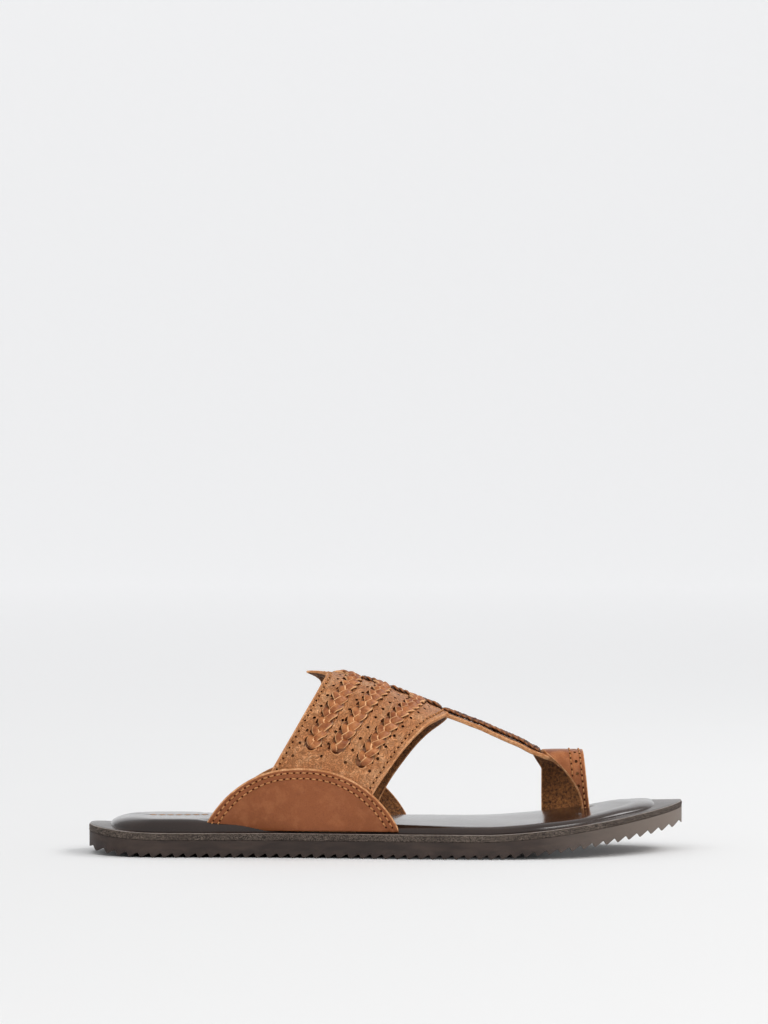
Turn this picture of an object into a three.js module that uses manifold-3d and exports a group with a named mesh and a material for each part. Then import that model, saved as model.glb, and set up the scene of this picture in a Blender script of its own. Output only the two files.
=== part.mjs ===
// Kolhapuri sandal for the right foot: a rippled rubber outsole, a leather-board midsole, a padded footbed,
// one leather upper (instep band, centre strap and toe ring) and a smooth leather panel on each side.
// Millimetres. X runs from heel to toe, Y towards the inner, big-toe side, and Z up from the floor.

import * as THREE from 'three';
import { mergeVertices } from 'three/addons/utils/BufferGeometryUtils.js';
import Module from 'manifold-3d';

const wasm = await Module();
wasm.setup();

// Driving dimensions
const soleLength = 285;
const heelRound = 40; // length of the rounded heel end
const toeRound = 78; // length of the rounded toe end
const heelPower = 2.5; // squareness of the heel's end
const toePower = { lateral: 2.15, medial: 2.6 }; // squareness of the toe's end on each side
const toeTipY = 22; // the tip lies in front of the big toe
const spineStart = 90; // the sole's middle line bends inwards from here
const spinePower = 1.2;
const contactGap = 0.3; // between pieces that touch

const toeSpring = 13; // lift of the sole at the toe tip
const springStart = 190;
const springPower = 1.45;
const heelLift = 2.6; // lift of the sole at the rear of the heel
const liftEnd = 34;

const outsoleThick = 8.1; // from the tooth tips up
const midsoleThick = 3.2;
const outsoleThinning = 0.3; // both soles thin out towards the toe tip
const midsoleThinning = 0.8;
const toothPitch = 5.5;
const toothDepth = 2.3;
const toothTip = 1.1; // flat of each tooth
const toothRake = 0.7; // run of the steep face, towards the heel

const ledgeHeel = 5; // midsole showing outside the footbed
const ledgeToe = 6.5;
const ledgeGrowth = { start: 150, run: 100 }; // where the ledge widens towards the toe
const ledgeEnd = 5.7; // more ledge round the rear of the heel
const ledgeEndRun = 30;
const ledgeTip = { from: 268, run: 17, by: 6 }; // and round the tip of the toe
const padHeel = 4.7; // the footbed's shoulder above its underside
const padToe = 3.2;
const padCrown = 1.4; // the dome above the shoulder
const padTaper = { start: 90, run: 90 }; // where the pad gets thinner towards the toe
const padFlat = { to: 100, run: 55, rise: 1.1, crown: 1.3 }; // the heel's top is higher and nearly flat
const padShoulder = 6; // width of the rounded shoulder, which is softer at both ends
const padSoft = { heelRun: 40, heelBy: 3, toeFrom: 215, toeRun: 50, toeBy: 6 };
const padPower = 2.2; // squareness of the shoulder
const padTurn = { from: 225, run: 30 }; // from here the pad's edge is inset towards the spine's end
const padSpine = { from: 32, to: 246 }; // the pad's rings close to this stretch of the middle line

const upperThick = 2;
const panelThick = 1.6;
const sideZ = 28; // where the upper's sides stand upright
const archPower = 2.1;

const panelCentre = 102;
const panelHalf = 46.5;
const panelRise = 29.8;
const panelFoot = { lateral: 0.4, medial: 1 }; // the panel's lower edge above the band's
const panelShift = { lateral: 0, medial: 5 }; // the inner panel lies nearer the toe
const panelPower = 2.3; // flatness of the panel's arch
const panelEndPower = 0.8;
const panelSpan = 0.98; // the panel's corners stop just short of the arch's ends

const medialShift = 2.5; // the band's rear edge on the inner side lies this much nearer the toe
const medialFront = 6.5; // and its front edge this much
const medialFrontBlend = 0.24; // the share of the section over which the front edge moves forward

const strapWidth = 13;
const strapCrown = 0.5;
const strapThick = 1.9;

const ringCentreY = 21.5;
const ringHalf = 15.5;
const ringTop = 48;
const ringShoulder = 27;
const ringRear = 217.6;
const ringFront = 237;
const ringLean = 0.1; // the front edge runs forward this much for each millimetre down
const ringTuck = { lateral: 0.5, medial: 2.5 }; // each foot is this much further in than its shoulder
const ringPower = { lateral: 4, medial: 2.6 }; // squareness of the arch on each side
const ringSweep = { run: 18.8, from: 20, over: 28, power: 1.9 }; // the leg between the toes narrows downwards
// The inner leg widens near the top
const ringFlare = { run: 4.5, from: 38, over: 8, to: 47.5, fade: 2, blend: 0.1 };

const footRoom = { side: 2.2, inside: 0.1, ends: 0.4 }; // room in the footbed round the panels and the band
const ringRoom = { side: 1.2, height: 10, front: 241.6, rear: { lateral: 234.6, medial: 216.8 } };

// Sole edge at stations from the heel: outer (lateral) and inner (medial) side
const soleStations = [
  { x: 0, lateral: -33, medial: 31 },
  { x: 40, lateral: -35, medial: 32.5 },
  { x: 80, lateral: -35.5, medial: 30.5 },
  { x: 115, lateral: -39, medial: 30 },
  { x: 150, lateral: -44, medial: 36 },
  { x: 185, lateral: -47, medial: 45 },
  { x: 210, lateral: -46.5, medial: 49 },
  { x: 240, lateral: -42, medial: 49 },
  { x: soleLength, lateral: -30, medial: 44 },
];

// The upper's outer face at stations: crest height and place, and each side's widest line and foot line
const lastStations = [
  { x: 50, crest: 90, crestY: 0, lateral: -27, lateralFoot: -24, medial: 25, medialFoot: 22.5 },
  { x: 80, crest: 88.5, crestY: 1, lateral: -30, lateralFoot: -28, medial: 25.5, medialFoot: 21.5 },
  { x: 104, crest: 86.2, crestY: 2.5, lateral: -33.5, lateralFoot: -33, medial: 26, medialFoot: 20.5 },
  { x: 120, crest: 85.2, crestY: 3.5, lateral: -35.5, lateralFoot: -35.5, medial: 27.5, medialFoot: 21 },
  { x: 135, crest: 81.2, crestY: 4.5, lateral: -37.5, lateralFoot: -37, medial: 30, medialFoot: 23.7 },
  { x: 150, crest: 75.6, crestY: 5.5, lateral: -39.5, lateralFoot: -38.2, medial: 33.5, medialFoot: 27.5 },
  { x: 172, crest: 66.9, crestY: 6, lateral: -42.5, lateralFoot: -41, medial: 38, medialFoot: 32.5 },
  { x: 190, crest: 59.5, crestY: 6.5, lateral: -44, lateralFoot: -43, medial: 41, medialFoot: 36 },
];

// The band's front edge seen from the side, by height (the column x is the height, so one reader serves)
const frontEdge = [
  { x: 12, at: 127.5 },
  { x: 30.5, at: 136 },
  { x: 44, at: 144.8 },
  { x: 53, at: 151.7 },
  { x: 60, at: 158.6 },
  { x: 64, at: 164.5 },
  { x: 66.9, at: 172 },
];
const rearEdgeAtPanel = 87.5; // the rear edge's x where it meets the panel's top
const rearEdgeZ = 41;
const rearEdgeLean = 0.563;
const rearPeak = 10; // the small point at the middle of the rear edge
const rearPeakAt = 0.56;
const rearPeakWidth = 0.045;
const rearPeakPower = 1.5; // less than 2 makes it pointed

// The centre strap's top face: its middle line and its sideways tilt in degrees
const strapStations = [
  { x: 162, y: 6, z: 69.6, tilt: 0 },
  { x: 185, y: 6.5, z: 60.9, tilt: 0 },
  { x: 205, y: 9, z: 52.3, tilt: 3 },
  { x: 221, y: 13.6, z: 45.4, tilt: 6 },
];

// A smooth curve through a table's column, level with its neighbours' slope at each row
function read(rows, column, x) {
  const last = rows.length - 1;
  const here = Math.min(Math.max(x, rows[0].x), rows[last].x);
  let i = 0;
  while (i < last - 1 && rows[i + 1].x < here) {
    i += 1;
  }
  const slope = (k) => {
    const before = rows[Math.max(k - 1, 0)];
    const after = rows[Math.min(k + 1, last)];
    return (after[column] - before[column]) / (after.x - before.x);
  };
  const span = rows[i + 1].x - rows[i].x;
  const t = (here - rows[i].x) / span;
  const rise = rows[i + 1][column] - rows[i][column];
  const start = slope(i) * span - rise;
  const end = rise - slope(i + 1) * span;
  return rows[i][column] + rise * t + t * (1 - t) * (start * (1 - t) + end * t);
}

function mix(a, b, t) {
  return a + (b - a) * t;
}

function clamp(t) {
  return Math.min(Math.max(t, 0), 1);
}

// ---- Solids from meshes ----

function toManifold(geometry) {
  const bare = geometry.index ? geometry.toNonIndexed() : geometry.clone();
  bare.deleteAttribute('normal');
  bare.deleteAttribute('uv');
  const merged = mergeVertices(bare, 1e-4);
  const mesh = new wasm.Mesh({
    numProp: 3,
    vertProperties: new Float32Array(merged.attributes.position.array),
    triVerts: new Uint32Array(merged.index.array),
  });
  return new wasm.Manifold(mesh);
}

function toGeometry(solid) {
  const mesh = solid.getMesh();
  const geometry = new THREE.BufferGeometry();
  geometry.setAttribute('position', new THREE.BufferAttribute(new Float32Array(mesh.vertProperties), 3));
  geometry.setIndex(Array.from(mesh.triVerts));
  geometry.computeVertexNormals();
  return geometry;
}

// A closed mesh from faces given by their corner points; four corners make two triangles
function fromFaces(faces) {
  const positions = [];
  for (const corners of faces) {
    for (let k = 1; k < corners.length - 1; k += 1) {
      for (const corner of [corners[0], corners[k], corners[k + 1]]) {
        positions.push(corner.x, corner.y, corner.z);
      }
    }
  }
  const geometry = new THREE.BufferGeometry();
  geometry.setAttribute('position', new THREE.BufferAttribute(new Float32Array(positions), 3));
  return toManifold(geometry);
}

// A sheet of leather: point(u, v) is its outer face, and the two faces lie at the given depths under it
function sheet(point, us, vs, outerDepth, innerDepth) {
  const step = 1e-3;
  const at = (u, v, depth) => {
    const alongU = point(u + step, v).sub(point(u - step, v));
    const alongV = point(u, v + step).sub(point(u, v - step));
    const normal = alongU.cross(alongV).normalize();
    return point(u, v).addScaledVector(normal, -depth);
  };
  const outer = us.map((u) => vs.map((v) => at(u, v, outerDepth)));
  const inner = us.map((u) => vs.map((v) => at(u, v, innerDepth)));
  const faces = [];
  const lastU = us.length - 1;
  const lastV = vs.length - 1;
  for (let i = 0; i < lastU; i += 1) {
    for (let j = 0; j < lastV; j += 1) {
      faces.push([outer[i][j], outer[i + 1][j], outer[i + 1][j + 1], outer[i][j + 1]]);
      faces.push([inner[i][j], inner[i][j + 1], inner[i + 1][j + 1], inner[i + 1][j]]);
    }
  }
  for (let i = 0; i < lastU; i += 1) {
    faces.push([outer[i][0], inner[i][0], inner[i + 1][0], outer[i + 1][0]]);
    faces.push([outer[i][lastV], outer[i + 1][lastV], inner[i + 1][lastV], inner[i][lastV]]);
  }
  for (let j = 0; j < lastV; j += 1) {
    faces.push([outer[0][j], outer[0][j + 1], inner[0][j + 1], inner[0][j]]);
    faces.push([outer[lastU][j], inner[lastU][j], inner[lastU][j + 1], outer[lastU][j + 1]]);
  }
  return fromFaces(faces);
}

function spaced(from, to, count) {
  return Array.from({ length: count + 1 }, (_, i) => mix(from, to, i / count));
}

// ---- Sole ----

function toeward(x) {
  return clamp((x - springStart) / (soleLength - springStart));
}

// Height of the tooth tips above the floor
function soleLift(x) {
  return toeSpring * toeward(x) ** springPower + heelLift * clamp((liftEnd - x) / liftEnd) ** 2;
}

function outsoleTop(x) {
  return soleLift(x) + outsoleThick - outsoleThinning * toeward(x);
}

function midsoleTop(x) {
  return outsoleTop(x) + contactGap + midsoleThick - midsoleThinning * toeward(x);
}

// The sole's middle line, which the ends round off to
function spineY(x) {
  return toeTipY * clamp((x - spineStart) / (soleLength - spineStart)) ** spinePower;
}

function soleEdge(x, side) {
  const heelT = clamp((heelRound - x) / heelRound);
  const toeT = clamp((x - soleLength + toeRound) / toeRound);
  const heelEnd = (1 - heelT ** heelPower) ** (1 / heelPower);
  const toeEnd = (1 - toeT ** toePower[side]) ** (1 / toePower[side]);
  return mix(spineY(x), read(soleStations, side, x), heelEnd * toeEnd);
}

// The outline, once round from the heel along the outer side to the toe and back
function soleOutline(count) {
  const points = [];
  for (let i = 0; i < count; i += 1) {
    const angle = (2 * Math.PI * i) / count;
    const x = (soleLength * (1 - Math.cos(angle))) / 2;
    points.push(new THREE.Vector2(x, soleEdge(x, angle <= Math.PI ? 'lateral' : 'medial')));
  }
  return points;
}

function prism(outline, depth) {
  const geometry = new THREE.ExtrudeGeometry(new THREE.Shape(outline), { depth, bevelEnabled: false });
  return toManifold(geometry);
}

// A slab between two height profiles, given as points of x and height, right across the sole
function slab(profile) {
  const reach = 120;
  const geometry = new THREE.ExtrudeGeometry(new THREE.Shape(profile), { depth: reach, bevelEnabled: false });
  geometry.rotateX(Math.PI / 2);
  geometry.translate(0, reach / 2, 0);
  return toManifold(geometry);
}

const profileXs = [-3, ...spaced(0, liftEnd, 4), ...spaced(60, springStart, 3), ...spaced(198, 288, 14)];

function profileLine(height) {
  return profileXs.map((x) => new THREE.Vector2(x, height(clamp(x / soleLength) * soleLength)));
}

// Saw teeth: a steep face towards the heel, a flat tip, then a long slope up to the next notch
function treadLine() {
  const line = [];
  for (let x = -toothPitch / 2; x < soleLength + toothPitch; x += toothPitch) {
    const lift = (along) => soleLift(clamp(along / soleLength) * soleLength);
    line.push(new THREE.Vector2(x, lift(x) + toothDepth));
    line.push(new THREE.Vector2(x + toothRake, lift(x + toothRake)));
    line.push(new THREE.Vector2(x + toothRake + toothTip, lift(x + toothRake + toothTip)));
  }
  return line;
}

const outlineSolid = prism(soleOutline(96), 60); // far higher than the sole, which the slabs cut to height

function buildOutsole() {
  return slab([...treadLine(), ...profileLine(outsoleTop).reverse()]).intersect(outlineSolid);
}

function buildMidsole() {
  const underside = profileLine((x) => outsoleTop(x) + contactGap);
  return slab([...underside, ...profileLine(midsoleTop).reverse()]).intersect(outlineSolid);
}

// ---- Footbed ----

// Height of the footbed above its underside, by share of the shoulder and by closeness to the spine
function padHeight(x, share, inward) {
  const flat = clamp((padFlat.to - x) / padFlat.run);
  const edge = mix(padHeel, padToe, clamp((x - padTaper.start) / padTaper.run)) + padFlat.rise * flat;
  const round = (1 - (1 - share) ** padPower) ** (1 / padPower);
  return edge * round + (padCrown - padFlat.crown * flat) * (1 - (1 - inward) ** 2);
}

function shoulderWidth(x) {
  const heel = padSoft.heelBy * clamp(1 - x / padSoft.heelRun);
  return padShoulder + heel + padSoft.toeBy * clamp((x - padSoft.toeFrom) / padSoft.toeRun);
}

function buildFootbed() {
  const outline = soleOutline(72);
  const count = outline.length;
  const underside = (x) => midsoleTop(x) + contactGap;
  const edge = outline.map((here, i) => {
    const before = outline[(i + count - 1) % count];
    const after = outline[(i + 1) % count];
    const tangent = new THREE.Vector2().subVectors(after, before).normalize();
    const inward = new THREE.Vector2(-tangent.y, tangent.x);
    const side = mix(ledgeHeel, ledgeToe, clamp((here.x - ledgeGrowth.start) / ledgeGrowth.run));
    const heelEnd = ledgeEnd * clamp(1 - here.x / ledgeEndRun) ** 2;
    const toeEnd = ledgeTip.by * clamp((here.x - ledgeTip.from) / ledgeTip.run) ** 2;
    const ledge = side + heelEnd + toeEnd;
    const spineX = Math.min(Math.max(here.x, padSpine.from), padSpine.to);
    const spine = new THREE.Vector2(spineX, spineY(spineX));
    const toSpine = new THREE.Vector2().subVectors(spine, here).normalize();
    inward.lerp(toSpine, clamp((here.x - padTurn.from) / padTurn.run)).normalize();
    const shoulder = inward.clone().multiplyScalar(shoulderWidth(here.x));
    return { at: here.clone().addScaledVector(inward, ledge), shoulder, spine };
  });
  const ring = (share, inward) => edge.map(({ at, shoulder, spine }) => {
    const flat = at.clone().addScaledVector(shoulder, share).lerp(spine, inward);
    return new THREE.Vector3(flat.x, flat.y, underside(flat.x) + padHeight(flat.x, share, inward));
  });
  const floor = edge.map(({ at }) => new THREE.Vector3(at.x, at.y, 0));
  const rings = [floor];
  for (const share of [0, 0.07, 0.27, 0.57, 1]) {
    rings.push(ring(share, 0));
  }
  for (const inward of [0.3, 0.65, 1]) {
    rings.push(ring(1, inward));
  }
  const faces = [floor.slice().reverse()];
  for (let r = 0; r < rings.length - 1; r += 1) {
    for (let i = 0; i < count; i += 1) {
      const next = (i + 1) % count;
      faces.push([rings[r][i], rings[r][next], rings[r + 1][next], rings[r + 1][i]]);
    }
  }
  const deep = profileXs.map((x) => new THREE.Vector2(x, -5));
  const below = slab([...deep, ...profileLine(underside).reverse()]);
  return dropFlatFaces(faces).subtract(below);
}

// Faces that have folded to a line along the spine are left out before the mesh is closed
function dropFlatFaces(faces) {
  const kept = [];
  for (const corners of faces) {
    for (let k = 1; k < corners.length - 1; k += 1) {
      const triangle = [corners[0], corners[k], corners[k + 1]];
      const a = triangle[1].clone().sub(triangle[0]);
      const b = triangle[2].clone().sub(triangle[0]);
      const c = triangle[2].clone().sub(triangle[1]);
      if (Math.min(a.length(), b.length(), c.length()) > 1e-3) {
        kept.push(triangle);
      }
    }
  }
  return fromFaces(kept);
}

// ---- Upper ----

// One arched section: s runs -1..0 up the outer leg, 0..1 over the arch and 1..2 down the inner leg.
// The arch is a superellipse about the crest line, and each leg tucks in smoothly to its foot.
function archPoint(section, x, s) {
  if (s < 0 || s > 1) {
    const down = s < 0 ? -s : s - 1;
    const side = s < 0 ? section.lateral : section.medial;
    const foot = s < 0 ? section.lateralFoot : section.medialFoot;
    const z = mix(section.shoulder, section.footZ, down);
    return new THREE.Vector3(x, mix(side, foot, down * Math.abs(down)), z);
  }
  const angle = Math.PI * s;
  const power = s < 0.5 ? section.lateralPower : section.medialPower;
  const across = Math.abs(Math.cos(angle));
  const up = Math.sin(angle);
  const radius = (across ** power + up ** power) ** (-1 / power);
  const side = s < 0.5 ? section.lateral : section.medial;
  const y = mix(section.crestY, side, across * radius);
  return new THREE.Vector3(x, y, mix(section.shoulder, section.top, up * radius));
}

function lastSection(x) {
  return {
    top: read(lastStations, 'crest', x),
    crestY: read(lastStations, 'crestY', x),
    lateral: read(lastStations, 'lateral', x),
    lateralFoot: read(lastStations, 'lateralFoot', x),
    medial: read(lastStations, 'medial', x),
    medialFoot: read(lastStations, 'medialFoot', x),
    shoulder: sideZ,
    footZ: midsoleTop(x) + 2 * contactGap,
    lateralPower: archPower,
    medialPower: archPower,
  };
}

function lastPoint(x, s) {
  return archPoint(lastSection(x), x, s);
}

// Where a section passes a height, on the outer side
function sectionAt(x, z) {
  const { top, shoulder, footZ } = lastSection(x);
  if (z < shoulder) {
    return -(shoulder - z) / (shoulder - footZ);
  }
  const up = Math.min((z - shoulder) / (top - shoulder), 1);
  const across = (1 - up ** archPower) ** (1 / archPower);
  return Math.atan2(up, across) / Math.PI;
}

// The x at which an edge drawn from the side, edge(z), crosses the line s of the last
function crossing(edge, s) {
  let low = 40;
  let high = 190;
  for (let i = 0; i < 40; i += 1) {
    const middle = (low + high) / 2;
    if (middle > edge(lastPoint(middle, s).z)) {
      high = middle;
    } else {
      low = middle;
    }
  }
  return low;
}

function bandPoint(u, s) {
  const peak = rearPeak * Math.exp(-(Math.abs((s - rearPeakAt) / rearPeakWidth) ** rearPeakPower));
  const rearShift = medialShift * clamp(s) - peak;
  const rear = crossing((z) => rearEdgeAtPanel + (z - rearEdgeZ) * rearEdgeLean, s) + rearShift;
  const inner = clamp((s - 0.5) / medialFrontBlend);
  const front = crossing((z) => read(frontEdge, 'at', z), s) + medialFront * inner ** 2 * (3 - 2 * inner);
  return lastPoint(mix(rear, front, u), s);
}

function strapPoint(u, v) {
  const x = mix(strapStations[0].x, strapStations[strapStations.length - 1].x, u);
  const tilt = THREE.MathUtils.degToRad(read(strapStations, 'tilt', x));
  const aside = (v - 0.5) * strapWidth;
  const y = read(strapStations, 'y', x) + aside * Math.cos(tilt);
  const z = read(strapStations, 'z', x) + aside * Math.sin(tilt) - strapCrown * (2 * v - 1) ** 2;
  return new THREE.Vector3(x, y, z);
}

function ringSection(x) {
  return {
    top: ringTop,
    crestY: ringCentreY,
    lateral: ringCentreY - ringHalf,
    lateralFoot: ringCentreY - ringHalf + ringTuck.lateral,
    medial: ringCentreY + ringHalf,
    medialFoot: ringCentreY + ringHalf - ringTuck.medial,
    shoulder: ringShoulder,
    footZ: midsoleTop(x) + 2 * contactGap,
    lateralPower: ringPower.lateral,
    medialPower: ringPower.medial,
  };
}

// The ring's rear edge sweeps forward down the leg between the toes, which ends narrow
function ringPoint(u, s) {
  const { z } = archPoint(ringSection(ringFront), ringFront, s);
  const front = ringFront + (ringTop - z) * ringLean;
  const sweep = ringSweep.run * (1 - clamp((z - ringSweep.from) / ringSweep.over) ** ringSweep.power);
  const rise = clamp((z - ringFlare.from) / ringFlare.over) * clamp((ringFlare.to - z) / ringFlare.fade);
  const flare = ringFlare.run * rise * clamp((s - 0.5) / ringFlare.blend);
  const rear = ringRear + (s < 0.5 ? sweep : -flare);
  const x = mix(rear, front, u);
  return archPoint(ringSection(x), x, s);
}

const legRows = [-1, -0.66, -0.33];
const innerLegRows = legRows.map((s) => 1 - s).reverse();

function buildBand() {
  const rows = [...legRows, ...spaced(0, 1, 30), ...innerLegRows];
  return sheet(bandPoint, spaced(0, 1, 9), rows, 0, upperThick);
}

function buildRing() {
  const rows = [...legRows, ...spaced(0, 1, 18), ...innerLegRows];
  return sheet(ringPoint, spaced(0, 1, 4), rows, 0, upperThick);
}

function buildStrap() {
  return sheet(strapPoint, spaced(0, 1, 14), spaced(0, 1, 4), 0, strapThick);
}

function buildUpper() {
  return buildBand().add(buildStrap()).add(buildRing());
}

// ---- Side panels ----

// Height of a panel's top edge: a flat-topped arch
function panelTop(x, centre) {
  const t = clamp(Math.abs(x - centre) / panelHalf);
  return panelRise * (1 - t ** panelPower) ** panelEndPower;
}

// v runs from the foot up to the top edge on the outer side, and down to the foot on the inner side
function panelPoint(side) {
  const centre = panelCentre + panelShift[side];
  return (u, v) => {
    const x = centre - panelHalf * panelSpan * Math.cos(Math.PI * clamp(u)) + (u - clamp(u));
    const up = side === 'lateral' ? v : 1 - v;
    const z = lastSection(x).footZ + mix(panelFoot[side], panelTop(x, centre), up);
    const s = sectionAt(x, z);
    return lastPoint(x, side === 'lateral' ? s : 1 - s);
  };
}

function buildPanel(side) {
  const outward = -contactGap - panelThick;
  return sheet(panelPoint(side), spaced(0, 1, 22), spaced(0, 1, 5), outward, -contactGap);
}

// Room in the footbed for one leather foot: a strip of the last between two x, from depth to depth
function footSlot(side, rear, front, outerDepth, innerDepth) {
  const point = (u, v) => {
    const x = mix(rear, front, u);
    return side === 'lateral' ? lastPoint(x, mix(-1.4, -0.2, v)) : lastPoint(x, mix(1.2, 2.4, v));
  };
  return sheet(point, spaced(0, 1, 22), spaced(0, 1, 4), outerDepth, innerDepth);
}

// The panel and the band beside it share a slot, which is narrow where only the panel goes in
function sideSlot(side) {
  const centre = panelCentre + panelShift[side];
  const reach = panelHalf + footRoom.ends;
  const bandRear = rearEdgeAtPanel - rearEdgeZ * rearEdgeLean + (side === 'lateral' ? 0 : medialShift);
  const bandFront = frontEdge[1].at + (side === 'lateral' ? 0 : medialFront);
  const panelRoom = footSlot(side, centre - reach, centre + reach, -footRoom.side, 0);
  const bandRoom = footSlot(side, bandRear, bandFront, -footRoom.inside, upperThick + contactGap);
  return panelRoom.add(bandRoom);
}

// Room in the footbed for the toe ring's two feet
function ringSlots() {
  const { footZ, shoulder, lateralFoot, medialFoot } = ringSection(ringFront);
  const slot = (rear, centre) => {
    const length = ringRoom.front - rear;
    const height = shoulder - footZ + ringRoom.height;
    const box = new THREE.BoxGeometry(length, upperThick + 2 * ringRoom.side, height);
    box.translate(rear + length / 2, centre, footZ);
    return toManifold(box);
  };
  const lateral = slot(ringRoom.rear.lateral, lateralFoot + upperThick / 2);
  return lateral.add(slot(ringRoom.rear.medial, medialFoot - upperThick / 2));
}

// ---- Finishes and assembly ----

const rubber = { color: 0x4b3d38, roughness: 0.75, metalness: 0 };
const board = { color: 0x4a413c, roughness: 0.9, metalness: 0 };
const padLeather = { color: 0x3a2a24, roughness: 0.35, metalness: 0 };
const bandLeather = { color: 0xb0714a, roughness: 0.55, metalness: 0 };
const panelLeather = { color: 0x9a5b3a, roughness: 0.45, metalness: 0 };

const shoe = new THREE.Group();

function addPiece(name, solid, finish) {
  const mesh = new THREE.Mesh(toGeometry(solid), new THREE.MeshStandardMaterial(finish));
  mesh.name = name;
  shoe.add(mesh);
}

const slots = sideSlot('lateral').add(sideSlot('medial')).add(ringSlots());
addPiece('outsole', buildOutsole(), rubber);
addPiece('midsole', buildMidsole(), board);
addPiece('footbed', buildFootbed().subtract(slots), padLeather);
addPiece('upper', buildUpper(), bandLeather);
addPiece('lateral_panel', buildPanel('lateral'), panelLeather);
addPiece('medial_panel', buildPanel('medial'), panelLeather);

// The origin is under the middle of the whole shoe, on the floor
const extent = new THREE.Box3().setFromObject(shoe);
const middle = extent.getCenter(new THREE.Vector3());
shoe.position.set(-middle.x, -middle.y, -extent.min.z);

export default shoe;
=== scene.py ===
import bmesh
import bpy
import numpy as np
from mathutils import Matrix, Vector


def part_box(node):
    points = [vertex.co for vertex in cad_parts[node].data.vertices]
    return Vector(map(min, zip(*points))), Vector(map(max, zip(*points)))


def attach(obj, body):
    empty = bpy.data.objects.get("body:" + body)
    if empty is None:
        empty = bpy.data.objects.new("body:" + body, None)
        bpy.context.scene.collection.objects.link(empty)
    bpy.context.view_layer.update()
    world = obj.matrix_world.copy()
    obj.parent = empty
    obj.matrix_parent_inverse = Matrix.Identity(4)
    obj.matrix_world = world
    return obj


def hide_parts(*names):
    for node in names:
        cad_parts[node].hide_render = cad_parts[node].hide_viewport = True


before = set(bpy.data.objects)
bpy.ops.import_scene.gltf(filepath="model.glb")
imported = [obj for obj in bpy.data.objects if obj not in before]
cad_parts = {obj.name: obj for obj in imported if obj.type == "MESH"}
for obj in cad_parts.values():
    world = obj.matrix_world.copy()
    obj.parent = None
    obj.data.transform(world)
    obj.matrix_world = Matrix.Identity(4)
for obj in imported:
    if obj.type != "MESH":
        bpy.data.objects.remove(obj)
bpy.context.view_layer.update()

# Shapes are in millimetres from the heel, with Y to the inner side, until place() puts them in the frame.

soleBox = [np.array(corner) * 1000 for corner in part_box("outsole")]
soleLength = soleBox[1][0] - soleBox[0][0]

sole = {
    "heelRound": 40.0, "toeRound": 78.0, "heelPower": 2.5,
    "toePower": {"lateral": 2.15, "medial": 2.6}, "toeTipY": 22.0,
    "toeSpring": 13.0, "springStart": 190.0, "springPower": 1.45,
    "heelLift": 2.6, "liftEnd": 34.0, "spineFrom": 32.0, "spineTo": 246.0,
    "outsoleThick": 8.1, "outsoleThinning": 0.3, "midsoleThick": 3.2, "midsoleThinning": 0.8, "gap": 0.3,
}
soleEdges = {
    "x": [0, 40, 80, 115, 150, 185, 210, 240, soleLength],
    "lateral": [-33, -35, -35.5, -39, -44, -47, -46.5, -42, -30],
    "medial": [31, 32.5, 30.5, 30, 36, 45, 49, 49, 44],
}
lastTable = {
    "x": [50, 80, 104, 120, 135, 150, 172, 190],
    "crest": [90, 88.5, 86.2, 85.2, 81.2, 75.6, 66.9, 59.5],
    "crestY": [0, 1, 2.5, 3.5, 4.5, 5.5, 6, 6.5],
    "lateral": [-27, -30, -33.5, -35.5, -37.5, -39.5, -42.5, -44],
    "lateralFoot": [-24, -28, -33, -35.5, -37, -38.2, -41, -43],
    "medial": [25, 25.5, 26, 27.5, 30, 33.5, 38, 41],
    "medialFoot": [22.5, 21.5, 20.5, 21, 23.7, 27.5, 32.5, 36],
}
frontEdge = {"x": [12, 30.5, 44, 53, 60, 64, 66.9], "at": [127.5, 136, 144.8, 151.7, 158.6, 164.5, 172]}


def clamp(t):
    return np.clip(t, 0, 1)


def mix(a, b, t):
    return a + (b - a) * t


def bump(distance, width):  # a bell: 1 at no distance, falling off over the width
    return np.exp(-((distance / width) ** 2))


def unit(vectors):
    return vectors / np.maximum(np.linalg.norm(vectors, axis=-1, keepdims=True), 1e-12)


def fullTurn(count):
    return 2 * np.pi * np.arange(count) / count


def runAlong(path):  # the running length along a path, from 0
    return np.concatenate([[0], np.cumsum(np.linalg.norm(np.diff(path, axis=0), axis=-1))])


def resample(at, run, array):
    return np.stack([np.interp(at, run, array[:, k]) for k in range(array.shape[1])], -1)


def widthAt(points, s, samples=25):  # a sheet's width, square to s, along its surface
    line = points(s[:, None], np.linspace(0, 1, samples)[None, :])
    return np.linalg.norm(np.diff(line, axis=1), axis=-1).sum(1)


def readTable(table, column, x):
    # a cubic between rows, whose slope at each row is the one between its two neighbours
    at, value = np.asarray(table["x"], float), np.asarray(table[column], float)
    x = np.clip(x, at[0], at[-1])
    count = len(at)
    before, after = np.clip(np.arange(count) - 1, 0, None), np.clip(np.arange(count) + 1, None, count - 1)
    slope = (value[after] - value[before]) / (at[after] - at[before])
    row = np.clip(np.searchsorted(at, x) - 1, 0, count - 2)
    span, rise = at[row + 1] - at[row], value[row + 1] - value[row]
    t = (x - at[row]) / span
    start, end = slope[row] * span - rise, rise - slope[row + 1] * span
    return value[row] + rise * t + t * (1 - t) * (start * (1 - t) + end * t)


def toeward(x):
    return clamp((x - sole["springStart"]) / (soleLength - sole["springStart"]))


def soleLift(x):  # height of the tread's tips: a power curve up at the toe and a small one at the heel
    x = np.clip(x, 0, soleLength)
    spring = sole["toeSpring"] * toeward(x) ** sole["springPower"]
    return spring + sole["heelLift"] * clamp((sole["liftEnd"] - x) / sole["liftEnd"]) ** 2


def outsoleTop(x):
    return soleLift(x) + sole["outsoleThick"] - sole["outsoleThinning"] * toeward(x)


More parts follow.
